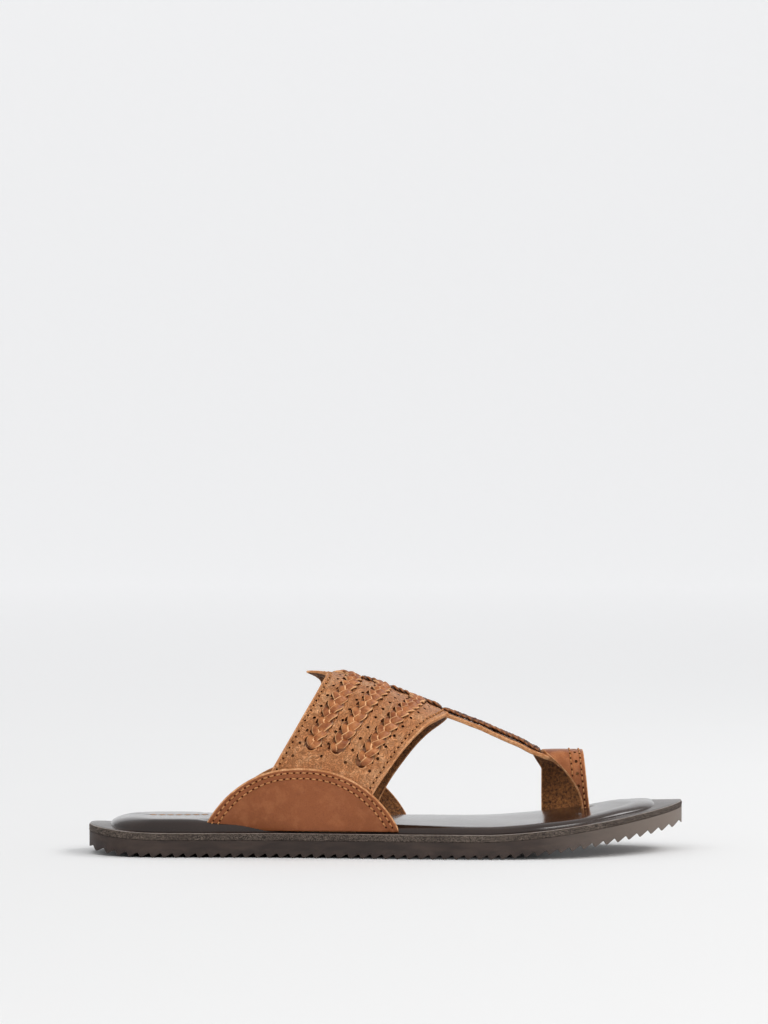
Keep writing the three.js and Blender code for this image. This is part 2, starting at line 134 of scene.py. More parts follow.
def midsoleTop(x):
    return outsoleTop(x) + sole["gap"] + sole["midsoleThick"] - sole["midsoleThinning"] * toeward(x)


def spineY(x):
    return sole["toeTipY"] * clamp((x - 90) / (soleLength - 90)) ** 1.2


def soleEdge(x, side):  # the side's line, rounded off to the spine at both ends by superellipses
    heelT = clamp((sole["heelRound"] - x) / sole["heelRound"])
    toeT = clamp((x - soleLength + sole["toeRound"]) / sole["toeRound"])
    heelPower, toePower = sole["heelPower"], sole["toePower"][side]
    ends = (1 - heelT ** heelPower) ** (1 / heelPower) * (1 - toeT ** toePower) ** (1 / toePower)
    return mix(spineY(x), readTable(soleEdges, side, x), ends)


def soleOutline(count):
    # once round, heel to toe on the outer side and back; x = half the length times 1 - cos(angle)
    angle = fullTurn(count)
    x = soleLength * (1 - np.cos(angle)) / 2
    y = np.where(angle <= np.pi, soleEdge(x, "lateral"), soleEdge(x, "medial"))
    points = np.stack([x, y], -1)
    tangent = unit(np.roll(points, -1, 0) - np.roll(points, 1, 0))
    inward = np.stack([-tangent[:, 1], tangent[:, 0]], -1)
    spineX = np.clip(x, sole["spineFrom"], sole["spineTo"])
    return points, inward, np.stack([spineX, spineY(spineX)], -1)


outlinePoints, _, _ = soleOutline(720)
shiftY = soleBox[0][1] - outlinePoints[:, 1].min()
origin = np.array([-soleBox[0][0], -shiftY, 0.0])


def place(points):  # millimetres from the heel to metres in the frame
    return (points - origin) / 1000


def newPiece(name, verts, faces, materials, replaced=(), faceMaterial=None, uv=None, smooth=True,
             merge=False):
    mesh = bpy.data.meshes.new(name)
    mesh.from_pydata(place(verts.reshape(-1, 3)).tolist(), [], faces)
    for material in materials:
        mesh.materials.append(material)
    if faceMaterial is not None:
        mesh.polygons.foreach_set("material_index", np.asarray(faceMaterial, np.int32))
    if uv is not None:
        corners = np.empty(len(mesh.loops), np.int32)
        mesh.loops.foreach_get("vertex_index", corners)
        layer = mesh.uv_layers.new(name="surface")
        layer.data.foreach_set("uv", uv.reshape(-1, 2)[corners].astype(np.float32).ravel())
    mesh.polygons.foreach_set("use_smooth", np.full(len(mesh.polygons), smooth))
    mesh.update()
    piece = bpy.data.objects.new(name, mesh)
    bpy.context.scene.collection.objects.link(piece)
    if merge:
        mergeDoubles(piece)
    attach(piece, "root")
    if replaced:
        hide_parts(*replaced)
    return piece


def mergeDoubles(piece):
    work = bmesh.new()
    work.from_mesh(piece.data)
    bmesh.ops.remove_doubles(work, verts=work.verts, dist=2e-6)
    bmesh.ops.dissolve_degenerate(work, edges=work.edges, dist=1e-7)
    work.to_mesh(piece.data)
    work.free()


def gridFaces(rows, columns, closedColumns=False, offset=0):
    # quads of a grid numbered row by row, running on round where the columns are closed
    here = np.arange(rows - 1)[:, None] * columns
    j = np.arange(columns if closedColumns else columns - 1)[None, :]
    jNext = (j + 1) % columns
    quads = np.stack([here + j, here + jNext, here + columns + jNext, here + columns + j], -1)
    return (quads.reshape(-1, 4) + offset).tolist()


def tubeFaces(rows, columns, offset=0):  # a closed tube with a flat face at each end
    faces = gridFaces(rows, columns, closedColumns=True, offset=offset)
    last = offset + (rows - 1) * columns
    return faces + [list(range(offset, offset + columns))[::-1], list(range(last, last + columns))]


def useModifier(piece, kind, **settings):
    modifier = piece.modifiers.new(kind.title(), kind)
    for key, value in settings.items():
        setattr(modifier, key, value)
    bpy.context.view_layer.objects.active = piece
    with bpy.context.temp_override(object=piece, active_object=piece, selected_objects=[piece]):
        bpy.ops.object.modifier_apply(modifier=modifier.name)


def cutAway(piece, cutter):
    settings = {"operation": "DIFFERENCE", "solver": "EXACT", "material_mode": "TRANSFER"}
    useModifier(piece, "BOOLEAN", object=cutter, **settings)
    bpy.data.objects.remove(cutter)


def fineNoise(points, scale, seed):
    # smooth repeatable noise in -1..1: a sum of sines along seeded directions
    rng = np.random.default_rng(seed)
    total = np.zeros(points.shape[:-1])
    for octave in range(7):
        direction = unit(rng.normal(size=3)) * 2 * np.pi / scale * rng.uniform(0.6, 2.2)
        total = total + np.sin(points @ direction + rng.uniform(0, 6.28)) / 7 ** 0.5
    return total


class Wire:
    # one shader socket; + - * / and ** add Math nodes, and node() adds any other node
    def __init__(self, tree, socket):
        self.tree, self.socket = tree, socket

    def math(self, operation, a, b=None):
        inputs = {0: a} if b is None else {0: a, 1: b}
        return self.node("ShaderNodeMath", {"operation": operation}, inputs)

    def node(self, kind, settings, inputs, output=0):
        made = self.tree.nodes.new(kind)
        for key, value in settings.items():
            if key == "ramp":
                stops = made.color_ramp.elements
                while len(stops) < len(value):
                    stops.new(0.5)
                for stop, (position, colour) in zip(stops, value):
                    stop.position, stop.color = position, (*colour, 1)
            else:
                setattr(made, key, value)
        for key, value in inputs.items():
            if isinstance(value, Wire):
                self.tree.links.new(value.socket, made.inputs[key])
            else:
                made.inputs[key].default_value = value
        return Wire(self.tree, made.outputs[output])

    def __add__(self, other):
        return self.math("ADD", self, other)

    def __sub__(self, other):
        return self.math("SUBTRACT", self, other)

    def __mul__(self, other):
        return self.math("MULTIPLY", self, other)

    def __truediv__(self, other):
        return self.math("DIVIDE", self, other)

    def __pow__(self, other):
        return self.math("POWER", self, other)

    def __radd__(self, other):
        return self.math("ADD", other, self)

    def __rsub__(self, other):
        return self.math("SUBTRACT", other, self)

    def __rmul__(self, other):
        return self.math("MULTIPLY", other, self)

    def __rtruediv__(self, other):
        return self.math("DIVIDE", other, self)

    def absolute(self):
        return self.math("ABSOLUTE", self)

    def band(self, low, high):  # 0 below low, 1 above high
        inputs = {0: self, 1: low, 2: high, 3: 0.0, 4: 1.0}
        return self.node("ShaderNodeMapRange", {"interpolation_type": "SMOOTHSTEP"}, inputs)


def rgb(code):  # a web colour to linear
    value = np.array([int(code[k:k + 2], 16) for k in (1, 3, 5)]) / 255
    return tuple(np.where(value <= 0.04045, value / 12.92, ((value + 0.055) / 1.055) ** 2.4))


class Finish:
    # a Principled material with the coordinates and noises that this object's finishes share
    def __init__(self, name, **constants):
        self.material = bpy.data.materials.new(name)
        self.material.use_nodes = True
        tree = self.material.node_tree
        self.shader = tree.nodes["Principled BSDF"]
        self.start = Wire(tree, None)
        self.place = self.start.node("ShaderNodeTexCoord", {}, {}, "Object")
        self.uv = self.start.node("ShaderNodeTexCoord", {}, {}, "UV")
        for key, value in constants.items():
            self.shader.inputs[key].default_value = value

    def noise(self, scale, detail=3.0, roughness=0.55, source=None, distortion=0.0):
        inputs = {"Vector": source or self.place, "Scale": scale, "Detail": detail}
        inputs |= {"Roughness": roughness, "Distortion": distortion}
        return self.start.node("ShaderNodeTexNoise", {}, inputs, "Fac")

    def cells(self, scale):
        return self.start.node("ShaderNodeTexVoronoi", {}, {"Vector": self.place, "Scale": scale}, "Distance")

    def stretched(self, factors):
        return self.start.node("ShaderNodeMapping", {}, {"Vector": self.place, "Scale": factors})

    def axis(self, name, source=None):
        return self.start.node("ShaderNodeSeparateXYZ", {}, {0: source or self.place}, name)

    def blend(self, factor, a, b):
        a, b = [colour if isinstance(colour, Wire) else (*colour, 1) for colour in (a, b)]
        return self.start.node("ShaderNodeMix", {"data_type": "RGBA"}, {0: factor, 6: a, 7: b}, 2)

    def feed(self, socketName, wire):
        self.material.node_tree.links.new(wire.socket, self.shader.inputs[socketName])

    def colour(self, wire):
        self.feed("Base Color", wire)

    def glow(self, wire):
        self.feed("Emission Color", wire)

    def roughness(self, wire):
        self.feed("Roughness", wire)

    def relief(self, height, distance):
        inputs = {"Height": height, "Distance": distance, "Strength": 1.0}
        self.feed("Normal", self.start.node("ShaderNodeBump", {}, inputs))


def grainLeather(name, dark, mid, light, gloss, creaseSize, creaseDepth, foot=None):
    # tumbled grain: soft mottling, fine creases where a warped noise passes its middle, and pores
    finish = Finish(name, **{"Specular IOR Level": 0.34})
    mottle = finish.noise(38.0, 5.0, 0.6)
    patch = finish.noise(170.0, 4.0, 0.6, distortion=0.4)
    folds = finish.noise(creaseSize, 2.0, 0.5, distortion=0.6)
    lines = finish.noise(creaseSize * 0.6, 3.0, 0.55, distortion=1.1)
    pore = finish.noise(2600.0, 2.0)
    crease = (folds - 0.5).absolute().band(0.0, 0.075) * 0.5
    crease = crease + (lines - 0.5).absolute().band(0.0, 0.05) * 0.5
    tone = (mottle * 0.55 + patch * 0.45).band(0.36, 0.64)
    colour = finish.blend(tone, rgb(dark), rgb(mid))
    colour = finish.blend((patch - 0.45).band(0.05, 0.2) * 0.5, colour, rgb(light))
    # painted shade: the creases are darkened in colour
    colour = finish.blend((1 - crease) * 0.42, colour, tuple(0.4 * c for c in rgb(dark)))
    if foot:  # darker down to the foot, between two heights
        # painted shade: darker down to the foot, as if in shadow
        low = 1 - finish.axis(2).band(*foot)
        colour = finish.blend(low * 0.75, colour, tuple(0.45 * c for c in rgb(dark)))
    finish.colour(colour)
    finish.roughness(gloss + (1 - crease) * 0.15 + (patch - 0.5) * 0.22)
    finish.relief(crease * 0.7 + pore * 0.15 + patch * 0.6, creaseDepth)
    return finish.material


def edgeLeather(name, base, dark):
    # the raw cut: pale fibres in thin layers along the edge
    finish = Finish(name, **{"Roughness": 0.85, "Specular IOR Level": 0.25})
    fibre = finish.noise(900.0, 4.0, 0.7)
    smear = finish.noise(180.0, 3.0)
    finish.colour(finish.blend((fibre * 0.6 + smear * 0.4).band(0.38, 0.68), rgb(dark), rgb(base)))
    finish.relief(fibre, 0.00025)
    return finish.material


def fleshLeather(name):
    # the rough inner side: matted fibres, dark with tan flecks
    sheen = {"Sheen Weight": 0.25, "Sheen Roughness": 0.6}
    finish = Finish(name, **{"Roughness": 0.95, "Specular IOR Level": 0.15}, **sheen)
    mat = finish.noise(900.0, 5.0, 0.75, distortion=0.8)
    cloud = finish.noise(70.0, 3.0)
    colour = finish.blend(mat.band(0.36, 0.66), rgb("#3C1F0D"), rgb("#B5763F"))
    finish.colour(finish.blend(cloud.band(0.4, 0.75) * 0.45, colour, rgb("#5A3317")))
    finish.relief(mat, 0.0005)
    return finish.material


def plaitLeather(name, dark, light, edge):
    # narrow strips: raw edges where v is near 0 or 1, and painted shade where they dive under
    finish = Finish(name, **{"Specular IOR Level": 0.4})
    over, across = finish.axis(0, finish.uv), finish.axis(1, finish.uv)
    middle = 1 - (across * 2 - 1).absolute()
    patch = finish.noise(240.0, 4.0, 0.6)
    fine = finish.noise(1500.0, 2.0)
    colour = finish.blend(patch.band(0.35, 0.68), rgb(dark), rgb(light))
    colour = finish.blend((1 - middle).band(0.7, 0.9), colour, rgb(edge))
    # painted shade where a strand dives under the others
    colour = finish.blend((1 - over.band(0.15, 0.7)) * 0.85, colour, tuple(0.25 * c for c in rgb(dark)))
    finish.colour(colour)
    finish.roughness(0.42 + (patch - 0.5) * 0.2)
    finish.relief(fine * 0.3 + patch * 0.7, 0.0002)
    return finish.material


def threadFinish():
    # twisted thread: fine slanting ridges, with painted shade between them
    finish = Finish("stitchThread", **{"Roughness": 0.7, "Specular IOR Level": 0.12})
    along, across = finish.axis(0, finish.uv), finish.axis(1, finish.uv)
    twist = ((along * 9 + across * 2.2) * 6.283).math("SINE", (along * 9 + across * 2.2) * 6.283)
    fuzz = finish.noise(1800.0, 2.0)
    # the twist darkens the thread between its ridges (painted shade); the fuzz varies its tone
    finish.colour(finish.blend((twist * 0.25 + fuzz).band(0.35, 0.85), rgb("#C67E48"), rgb("#F6BE88")))
    finish.relief(twist * 0.5 + fuzz * 0.4, 0.00012)
    return finish.material


def padFinish():
    # glossy smooth leather with fine pores, faint wrinkles, and paler colour where the wrinkles stand highest
    finish = Finish("footbedGloss", **{"Specular IOR Level": 0.5, "Coat Weight": 0.45, "Coat Roughness": 0.1})
    pores = finish.cells(900.0)
    wrinkle = finish.noise(95.0, 6.0, 0.62, finish.stretched((0.6, 1.3, 1.0)))
    cloud = finish.noise(26.0, 4.0)
    colour = finish.blend(cloud.band(0.35, 0.7), rgb("#22150F"), rgb("#30211A"))
    finish.colour(finish.blend((wrinkle - 0.5).band(0.1, 0.3) * 0.35, colour, rgb("#4B3C35")))
    finish.roughness(0.22 + (wrinkle - 0.5) * 0.12 + (cloud - 0.5) * 0.06)
    finish.relief(pores.band(0.0, 0.5) * 0.3 + wrinkle * 0.5, 0.00008)
    return finish.material


def boardFinish():
    # leather board: a rubbed dark edge, densely speckled with fine pale grains
    finish = Finish("boardEdge", **{"Specular IOR Level": 0.3})
    grain = finish.noise(2300.0, 3.0, 0.7, finish.stretched((0.75, 0.75, 1.3)))
    cloud = finish.noise(70.0, 3.0)
    fibre = finish.noise(520.0, 4.0, 0.7, finish.stretched((0.4, 0.4, 1.6)))
    colour = finish.blend(grain.band(0.4, 0.66), rgb("#1A1310"), rgb("#83756A"))
    colour = finish.blend((1 - cloud.band(0.35, 0.62)) * 0.4, colour, rgb("#382E29"))
    finish.colour(colour)
    finish.roughness(0.72 + (fibre - 0.5) * 0.4)
    finish.relief(fibre * 0.6 + grain * 0.5, 0.0006)
    return finish.material


def rubberFinish():
    # moulded rubber, paler towards the toe, with fine mould marks
    finish = Finish("treadRubber", **{"Specular IOR Level": 0.4})
    fine = finish.noise(1400.0, 3.0)
    streak = finish.noise(240.0, 4.0, 0.6, finish.stretched((0.35, 1.0, 1.4)))
    cloud = finish.noise(30.0, 3.0)
    toeEnd = finish.axis(0).band(0.06, 0.145)
    colour = finish.blend((streak * 0.6 + cloud * 0.4).band(0.36, 0.66), rgb("#2E2420"), rgb("#42352F"))
    colour = finish.blend(toeEnd * 0.7 + (cloud - 0.5) * 0.2, colour, rgb("#8C7F75"))
    finish.colour(colour)
    finish.roughness(0.62 + (streak - 0.5) * 0.25)
    finish.relief(fine * 0.4 + streak * 0.6, 0.00016)
    return finish.material


def plainFinish(name, code, rough, patchCode, shine=0.08):
    finish = Finish(name, **{"Roughness": rough, "Specular IOR Level": shine})
    patch = finish.noise(500.0, 3.0)
    finish.colour(finish.blend(patch.band(0.35, 0.7), rgb(code), rgb(patchCode)))
    return finish.material


# dark, middle and light tone, gloss, crease size and depth, and between which heights painted shade darkens
# the foot
bandGrain = grainLeather("bandGrain", "#CE8654", "#E29C66", "#F1B787", 0.35, 900.0, 0.0009)
panelSmooth = grainLeather("panelSmooth", "#8E4F28", "#9B5831", "#A7653B", 0.36, 1500.0, 0.00007)
ringTan = grainLeather("ringTan", "#8F4D24", "#B0683A", "#C47E4D", 0.36, 1500.0, 0.0001, (0.021, 0.045))
rawEdge = edgeLeather("rawEdge", "#E9B384", "#B9794A")
fleshSide = fleshLeather("fleshSide")
plaitTan = plaitLeather("plaitTan", "#8A4B24", "#BF7A47", "#EDB681")
laceDark = plaitLeather("laceDark", "#32170A", "#6A361B", "#A46A40")
threadTan = threadFinish()
padGloss = padFinish()
boardEdge = boardFinish()
treadRubber = rubberFinish()
# painted shade: the dark inside of needle holes, punched holes, slits and pockets
holeShade = plainFinish("holeShade", "#3A1A0A", 0.9, "#4C2814")
stampTan = plainFinish("stampTan", "#B98A5C", 0.4, "#A5754A")
ledgeBrown = plainFinish("ledgeBrown", "#332822", 0.26, "#4A3D36", 0.5)
# a painted highlight along the board's rounded top rim
rimHighlight = plainFinish("rimHighlight", "#A0948B", 0.4, "#7C7169", 0.4)
print("finishes made")

tread = {
    "pitch": 5.5, "depth": 2.3, "tip": 0.9, "rake": 0.8, "softening": 0.9, "step": 0.42, "edgeRound": 0.35,
    "toePower": 2.4, "crispAngle": 38,
}


def treadHeight(x):
    # saw tooth over the lift: notch, steep face, flat tip, long slope; a short moving average rounds it
    total = 0
    offsets = np.linspace(-0.5, 0.5, 7) * tread["softening"]
    for offset in offsets:
        t = (x + offset + tread["pitch"] / 2) % tread["pitch"]
        tipEnd = tread["rake"] + tread["tip"]
        drop = np.interp(t, [0, tread["rake"], tipEnd, tread["pitch"]], [1, 0, 0, 1])
        total = total + drop * tread["depth"]
    return total / len(offsets)


def makeOutsole():
    # a section round the sole at each x: underside, side, top and side again, closed to a line at both ends
    ends = np.linspace(0, np.pi / 2, 34)
    heelXs = sole["heelRound"] * (1 - np.cos(ends) ** (2 / sole["heelPower"]))
    toeXs = soleLength - sole["toeRound"] * (1 - np.cos(ends) ** (2 / tread["toePower"]))
    xs = np.unique(np.round(np.concatenate([heelXs, toeXs, np.arange(0, soleLength, tread["step"])]), 2))
    xs[-1] = soleLength
    lateral, medial = soleEdge(xs, "lateral"), soleEdge(xs, "medial")
    width = medial - lateral
    corner = np.minimum(tread["edgeRound"], width * 0.2)
    floorZ = soleLift(xs) + treadHeight(xs) * clamp(width / 6)
    topZ = outsoleTop(xs)
    spread = [0, 0.15, 0.5, 0.85, 1]
    columns = []
    for t in spread:
        columns.append((lateral + corner + (width - 2 * corner) * t, floorZ))
    for z in (0.0, 0.5, 1.0):
        columns.append((medial, mix(floorZ + corner, topZ, z)))
    for t in spread[::-1]:
        columns.append((lateral + width * (0.02 + 0.96 * t), topZ))
    for z in (1.0, 0.5, 0.0):
        columns.append((lateral, mix(floorZ + corner, topZ, z)))
    verts = np.stack([np.stack([xs, y, z], -1) for y, z in columns], 1)
    sideways = np.sign(verts[..., 1] - (lateral + medial)[:, None] / 2)
    wobble = fineNoise(verts, 14.0, 3) * 0.06
    verts[..., 1] += wobble * sideways
    faces = gridFaces(len(xs), len(columns), closedColumns=True)
    piece = newPiece("outsoleTread", verts, faces, [treadRubber], ["outsole"], merge=True)
    # faces that meet at a steeper angle keep a crisp edge
    piece.data.set_sharp_from_angle(angle=np.radians(tread["crispAngle"]))


makeOutsole()
print("outsole made")

def ringBody(name, rings, materials, replaced, rowMaterials=None):
    # rings of points round the outline, from the underside's middle out and back over the top to its middle
    verts = np.stack(rings, 0)
    faces = gridFaces(len(rings), verts.shape[1], closedColumns=True)
    faceMaterial = None if rowMaterials is None else np.repeat(rowMaterials, verts.shape[1])
    return newPiece(name, verts, faces, materials, replaced, faceMaterial, merge=True)


board = {"count": 900, "round": 0.4, "lean": 0.12, "rough": 0.2, "inset": 0.1, "seat": 0.03}


def makeMidsole():
    points, inward, spine = soleOutline(board["count"])
    def ring(inset, level, rough):
        # level 0 is the underside and 1 the top; rough moves the cut edge in and out
        flat = points + inward * (inset + board["inset"])
        z = mix(outsoleTop(points[:, 0]) + board["seat"], midsoleTop(points[:, 0]), level)
        solid = np.stack([flat[:, 0], flat[:, 1], z], -1)
        jag = fineNoise(solid * [1, 1, 3], 5.0, 5) * 0.6 + fineNoise(solid * [1, 1, 2], 1.7, 9) * 0.4
        solid[:, :2] += inward * (jag * rough)[:, None]
        return solid
    def middle(level):
        z = mix(outsoleTop(spine[:, 0]) + board["seat"], midsoleTop(spine[:, 0]), level)
        return np.stack([spine[:, 0], spine[:, 1], z], -1)
    rings = [middle(0), ring(14, 0, 0), ring(board["lean"], 0, 0)]
    rings += [ring(0, level, board["rough"]) for level in (0.12, 0.25, 0.4, 0.55, 0.7, 0.85)]
    rings.append(ring(board["lean"], 0.95, board["rough"] * 0.6))
    rings += [ring(inset, 1, 0) for inset in (board["round"], 3, 8, 14)] + [middle(1)]
    rows = [0] * (len(rings) - 6) + [2] + [1] * 4  # the cut edge, a painted highlight on its rim, and the ledge
    materials = [boardEdge, ledgeBrown, rimHighlight]
    return ringBody("midsoleBoard", rings, materials, ["midsole"], rows)


makeMidsole()
print("midsole made")

pad = {
    "count": 640, "heel": 4.7, "toe": 3.2, "thinFrom": 90.0, "thinOver": 90.0, "crown": 1.4,
    "flatTo": 100.0, "flatOver": 55.0, "flatRise": 1.1, "flatCrown": 1.3,
    "riseAt": 258.0, "riseWidth": 15.0, "toeRise": 0.8, "shoulder": 6.0, "shoulderPower": 2.2,
    "heelSoft": 12.0, "heelSoftTo": 30.0, "toeSoft": 6.0, "toeSoftFrom": 215.0, "toeSoftOver": 50.0,
    "ledgeHeel": 5.0, "ledgeToe": 6.5, "ledgeFrom": 150.0, "ledgeOver": 100.0,
    "heelEnd": 5.0, "heelEndTo": 30.0, "toeEnd": 6.0, "toeEndFrom": 268.0,
    "turnFrom": 225.0, "turnOver": 30.0, "waves": 0.12, "dip": 0.7,
}


def padHeight(x, share, inward):
    # a superellipse shoulder over its width, with a low dome over the rest that fades out towards the heel
    flat = clamp((pad["flatTo"] - x) / pad["flatOver"])
    edge = mix(pad["heel"], pad["toe"], clamp((x - pad["thinFrom"]) / pad["thinOver"]))
    edge = edge + pad["flatRise"] * flat + pad["toeRise"] * bump(x - pad["riseAt"], pad["riseWidth"])
    shoulder = (1 - (1 - share) ** pad["shoulderPower"]) ** (1 / pad["shoulderPower"])
    return edge * shoulder + (pad["crown"] - pad["flatCrown"] * flat) * (1 - (1 - inward) ** 2)


def shoulderWidth(x):
    toeSoft = pad["toeSoft"] * clamp((x - pad["toeSoftFrom"]) / pad["toeSoftOver"])
    return pad["shoulder"] + pad["heelSoft"] * clamp(1 - x / pad["heelSoftTo"]) + toeSoft


def slotDip(flat):
    # the cover is drawn down a little beside each strap's foot
    x, y = flat[:, 0], flat[:, 1]
    inBand = clamp((x - 52) / 6) * clamp((152 - x) / 6)
    lateral = bump(y - readTable(lastTable, "lateralFoot", x), 2.6) * inBand
    medial = bump(y - readTable(lastTable, "medialFoot", x), 2.6) * inBand
    ringFar = bump(y - 34.5, 2.2) * clamp((x - 215) / 3) * clamp((243 - x) / 3)
    ringNear = bump(y - 7.4, 2.0) * clamp((x - 232) / 3) * clamp((243 - x) / 3)
    return pad["dip"] * np.maximum.reduce([lateral, medial, ringFar, ringNear])


def padTop(flat, full, inward):
    x = flat[:, 0]
    z = midsoleTop(x) + sole["gap"] + padHeight(x, full, inward)
    solid = np.stack([x, flat[:, 1], z], -1)
    solid[:, 2] += fineNoise(solid * [1, 1, 0], 55.0, 21) * pad["waves"] * full - slotDip(flat) * full
    return solid


def makeFootbed():
    points, inward, spine = soleOutline(pad["count"])
    x = points[:, 0]
    ledge = mix(pad["ledgeHeel"], pad["ledgeToe"], clamp((x - pad["ledgeFrom"]) / pad["ledgeOver"]))
    ledge = ledge + pad["heelEnd"] * clamp(1 - x / pad["heelEndTo"]) ** 2
    ledge = ledge + pad["toeEnd"] * clamp((x - pad["toeEndFrom"]) / (soleLength - pad["toeEndFrom"])) ** 2
    turning = clamp((x - pad["turnFrom"]) / pad["turnOver"])[:, None]
    inward = unit(mix(inward, unit(spine - points), turning))  # towards the spine's end at the toe
    edge = points + inward * ledge[:, None]
    shoulder = inward * shoulderWidth(x)[:, None]
    under = lambda flat: np.stack([flat[:, 0], flat[:, 1], midsoleTop(flat[:, 0]) + 0.05], -1)
    rings = [under(spine), under(mix(edge, spine, 0.5)), under(edge - inward * 0.4)]
    for outward, height in ((0.4, 0.1), (0.45, 0.25), (0.4, 0.38), (0.25, 0.45), (0.1, 0.48), (0.0, 0.5)):
        rings.append(under(edge - inward * outward) + [0, 0, height])  # the cover's thin lip
    for share in (0.005, 0.02, 0.042, 0.083, 0.15, 0.23, 0.33, 0.45, 0.57, 0.7, 0.85, 1.0):
        rings.append(padTop(edge + shoulder * share, share, 0.0))
    for t in np.linspace(0, 1, 19)[1:]:
        rings.append(padTop(mix(edge + shoulder, spine, t), 1.0, t))
    return ringBody("footbedPad", rings, [padGloss], ["footbed"])


footbedPad = makeFootbed()

foil = {
    "count": 7, "from": 30.5, "pitch": 4.1, "y": 1.0, "half": 1.7, "wide": 2.6, "proud": 0.12, "deep": 0.6,
    "spineReach": 22.0,
}


def makeFoil():
    # a plain row of lozenges pressed on the heel
    x = foil["from"] + foil["pitch"] * np.arange(foil["count"])
    corners = np.array([(-1, 0), (0, -1), (1, 0), (0, 1)])
    flat = np.stack([x, np.full_like(x, foil["y"])], -1)[:, None, :] + corners * [foil["half"], foil["wide"]]
    flat = flat.reshape(-1, 2)
    inward = 1 - np.abs(flat[:, 1] - spineY(flat[:, 0])) / foil["spineReach"]
    upper = padTop(flat, 1.0, inward).reshape(-1, 4, 3) + [0, 0, foil["proud"]]
    verts = np.concatenate([upper, upper - [0, 0, foil["deep"]]], 1)
    faces = []
    for k in range(foil["count"]):
        b = 8 * k
        faces += [[b, b + 1, b + 2, b + 3], [b + 7, b + 6, b + 5, b + 4]]
        faces += [[b + m, b + 4 + m, b + 4 + (m + 1) % 4, b + (m + 1) % 4] for m in range(4)]
    newPiece("heelFoil", verts, faces, [stampTan], smooth=False)


makeFoil()
print("footbed made")

# the last is the surface that band, panels and plaits lie on

sideZ, archPower = 28.0, 2.1
footRise = 2 * sole["gap"]


def archPoints(section, x, s):
    # s -1..0 climbs the outer leg, 0..1 is a superellipse arch by polar angle, 1..2 goes down the inner leg
    outer = s < 0.5
    side = np.where(outer, section["lateral"], section["medial"])
    foot = np.where(outer, section["lateralFoot"], section["medialFoot"])
    power = np.where(outer, section["lateralPower"], section["medialPower"])
    down = np.where(outer, -s, s - 1)
    down = np.where(down > 0, down, 0)
    angle = np.pi * clamp(s)
    across, up = np.abs(np.cos(angle)), np.sin(angle)
    radius = (across ** power + up ** power) ** (-1 / power)
    y = mix(section["crestY"], side, across * radius) + (foot - side) * down ** 2
    z = mix(section["shoulder"], section["top"], up * radius)
    z = z - (section["shoulder"] - section["footZ"]) * down
    return np.stack(np.broadcast_arrays(x, y, z), -1)


def lastSection(x):
    columns = ("crestY", "lateral", "lateralFoot", "medial", "medialFoot")
    section = {column: readTable(lastTable, column, x) for column in columns}
    section |= {"top": readTable(lastTable, "crest", x), "shoulder": sideZ, "footZ": midsoleTop(x) + footRise}
    return section | {"lateralPower": archPower, "medialPower": archPower}


def lastPoints(x, s):
    x, s = np.broadcast_arrays(x, s)
    return archPoints(lastSection(x), x, s)


def sectionAt(x, z):  # the s at which a section passes a height on the outer side
    section = lastSection(x)
    up = clamp((z - sideZ) / (section["top"] - sideZ))
    across = (1 - up ** archPower) ** (1 / archPower)
    return np.where(z < sideZ, -(sideZ - z) / (sideZ - section["footZ"]), np.arctan2(up, across) / np.pi)


def crossing(edge, s):  # where an edge drawn from the side crosses each line s, by halving
    low, high = np.full_like(s, 40.0), np.full_like(s, 190.0)
    for _ in range(40):
        middle = (low + high) / 2
        over = middle > edge(lastPoints(middle, s)[..., 2])
        low, high = np.where(over, low, middle), np.where(over, middle, high)
    return low


band = {
    "thick": 2.0, "round": 0.35, "border": 0.4, "shift": 2.5,
    "curl": 1.0, "thinning": 1.1, "farFront": 6.5, "rearAt": 87.5, "rearZ": 41.0, "rearLean": 0.563,
    "peak": 10.0, "peakAt": 0.56, "peakWidth": 0.045, "peakPower": 1.5,
    "rows": 430, "columns": 84,
    "plaits": (0.225, 0.465, 0.745), "plaitStart": (0.138, 0.13, 0.098),
    "holeRows": (0.113, 0.366, 0.603, 0.85), "holeStart": (0.109, 0.11, 0.096, 0.078),
    "holePitch": 6.9, "holeRadius": 0.72,
    "rearStitch": 2.4, "frontStitch": 2.9, "stitchPitch": 2.95,
}
edgeS = np.linspace(-1.3, 2.3, 1441)
edgeShift = band["shift"] * clamp(edgeS)
edgePeak = band["peak"] * np.exp(-np.abs((edgeS - band["peakAt"]) / band["peakWidth"]) ** band["peakPower"])
bandRear = crossing(lambda z: band["rearAt"] + (z - band["rearZ"]) * band["rearLean"], edgeS)
bandRear = bandRear + edgeShift - edgePeak
farShare = clamp((edgeS - 0.5) / 0.24)
bandFront = crossing(lambda z: readTable(frontEdge, "at", z), edgeS)
bandFront = bandFront + band["farFront"] * farShare ** 2 * (3 - 2 * farShare)


def bandPoints(s, c):  # c runs from the band's rear edge to its front edge
    return lastPoints(mix(np.interp(s, edgeS, bandRear), np.interp(s, edgeS, bandFront), c), s)


def surfaceFrame(points, s, c):
    # the point, the direction along s, the direction along c and the outward normal
    step = 1e-3
    alongC = points(s, c + step) - points(s, c - step)
    alongS = points(s + step, c) - points(s - step, c)
    return points(s, c), unit(alongS), unit(alongC), unit(np.cross(alongC, alongS))


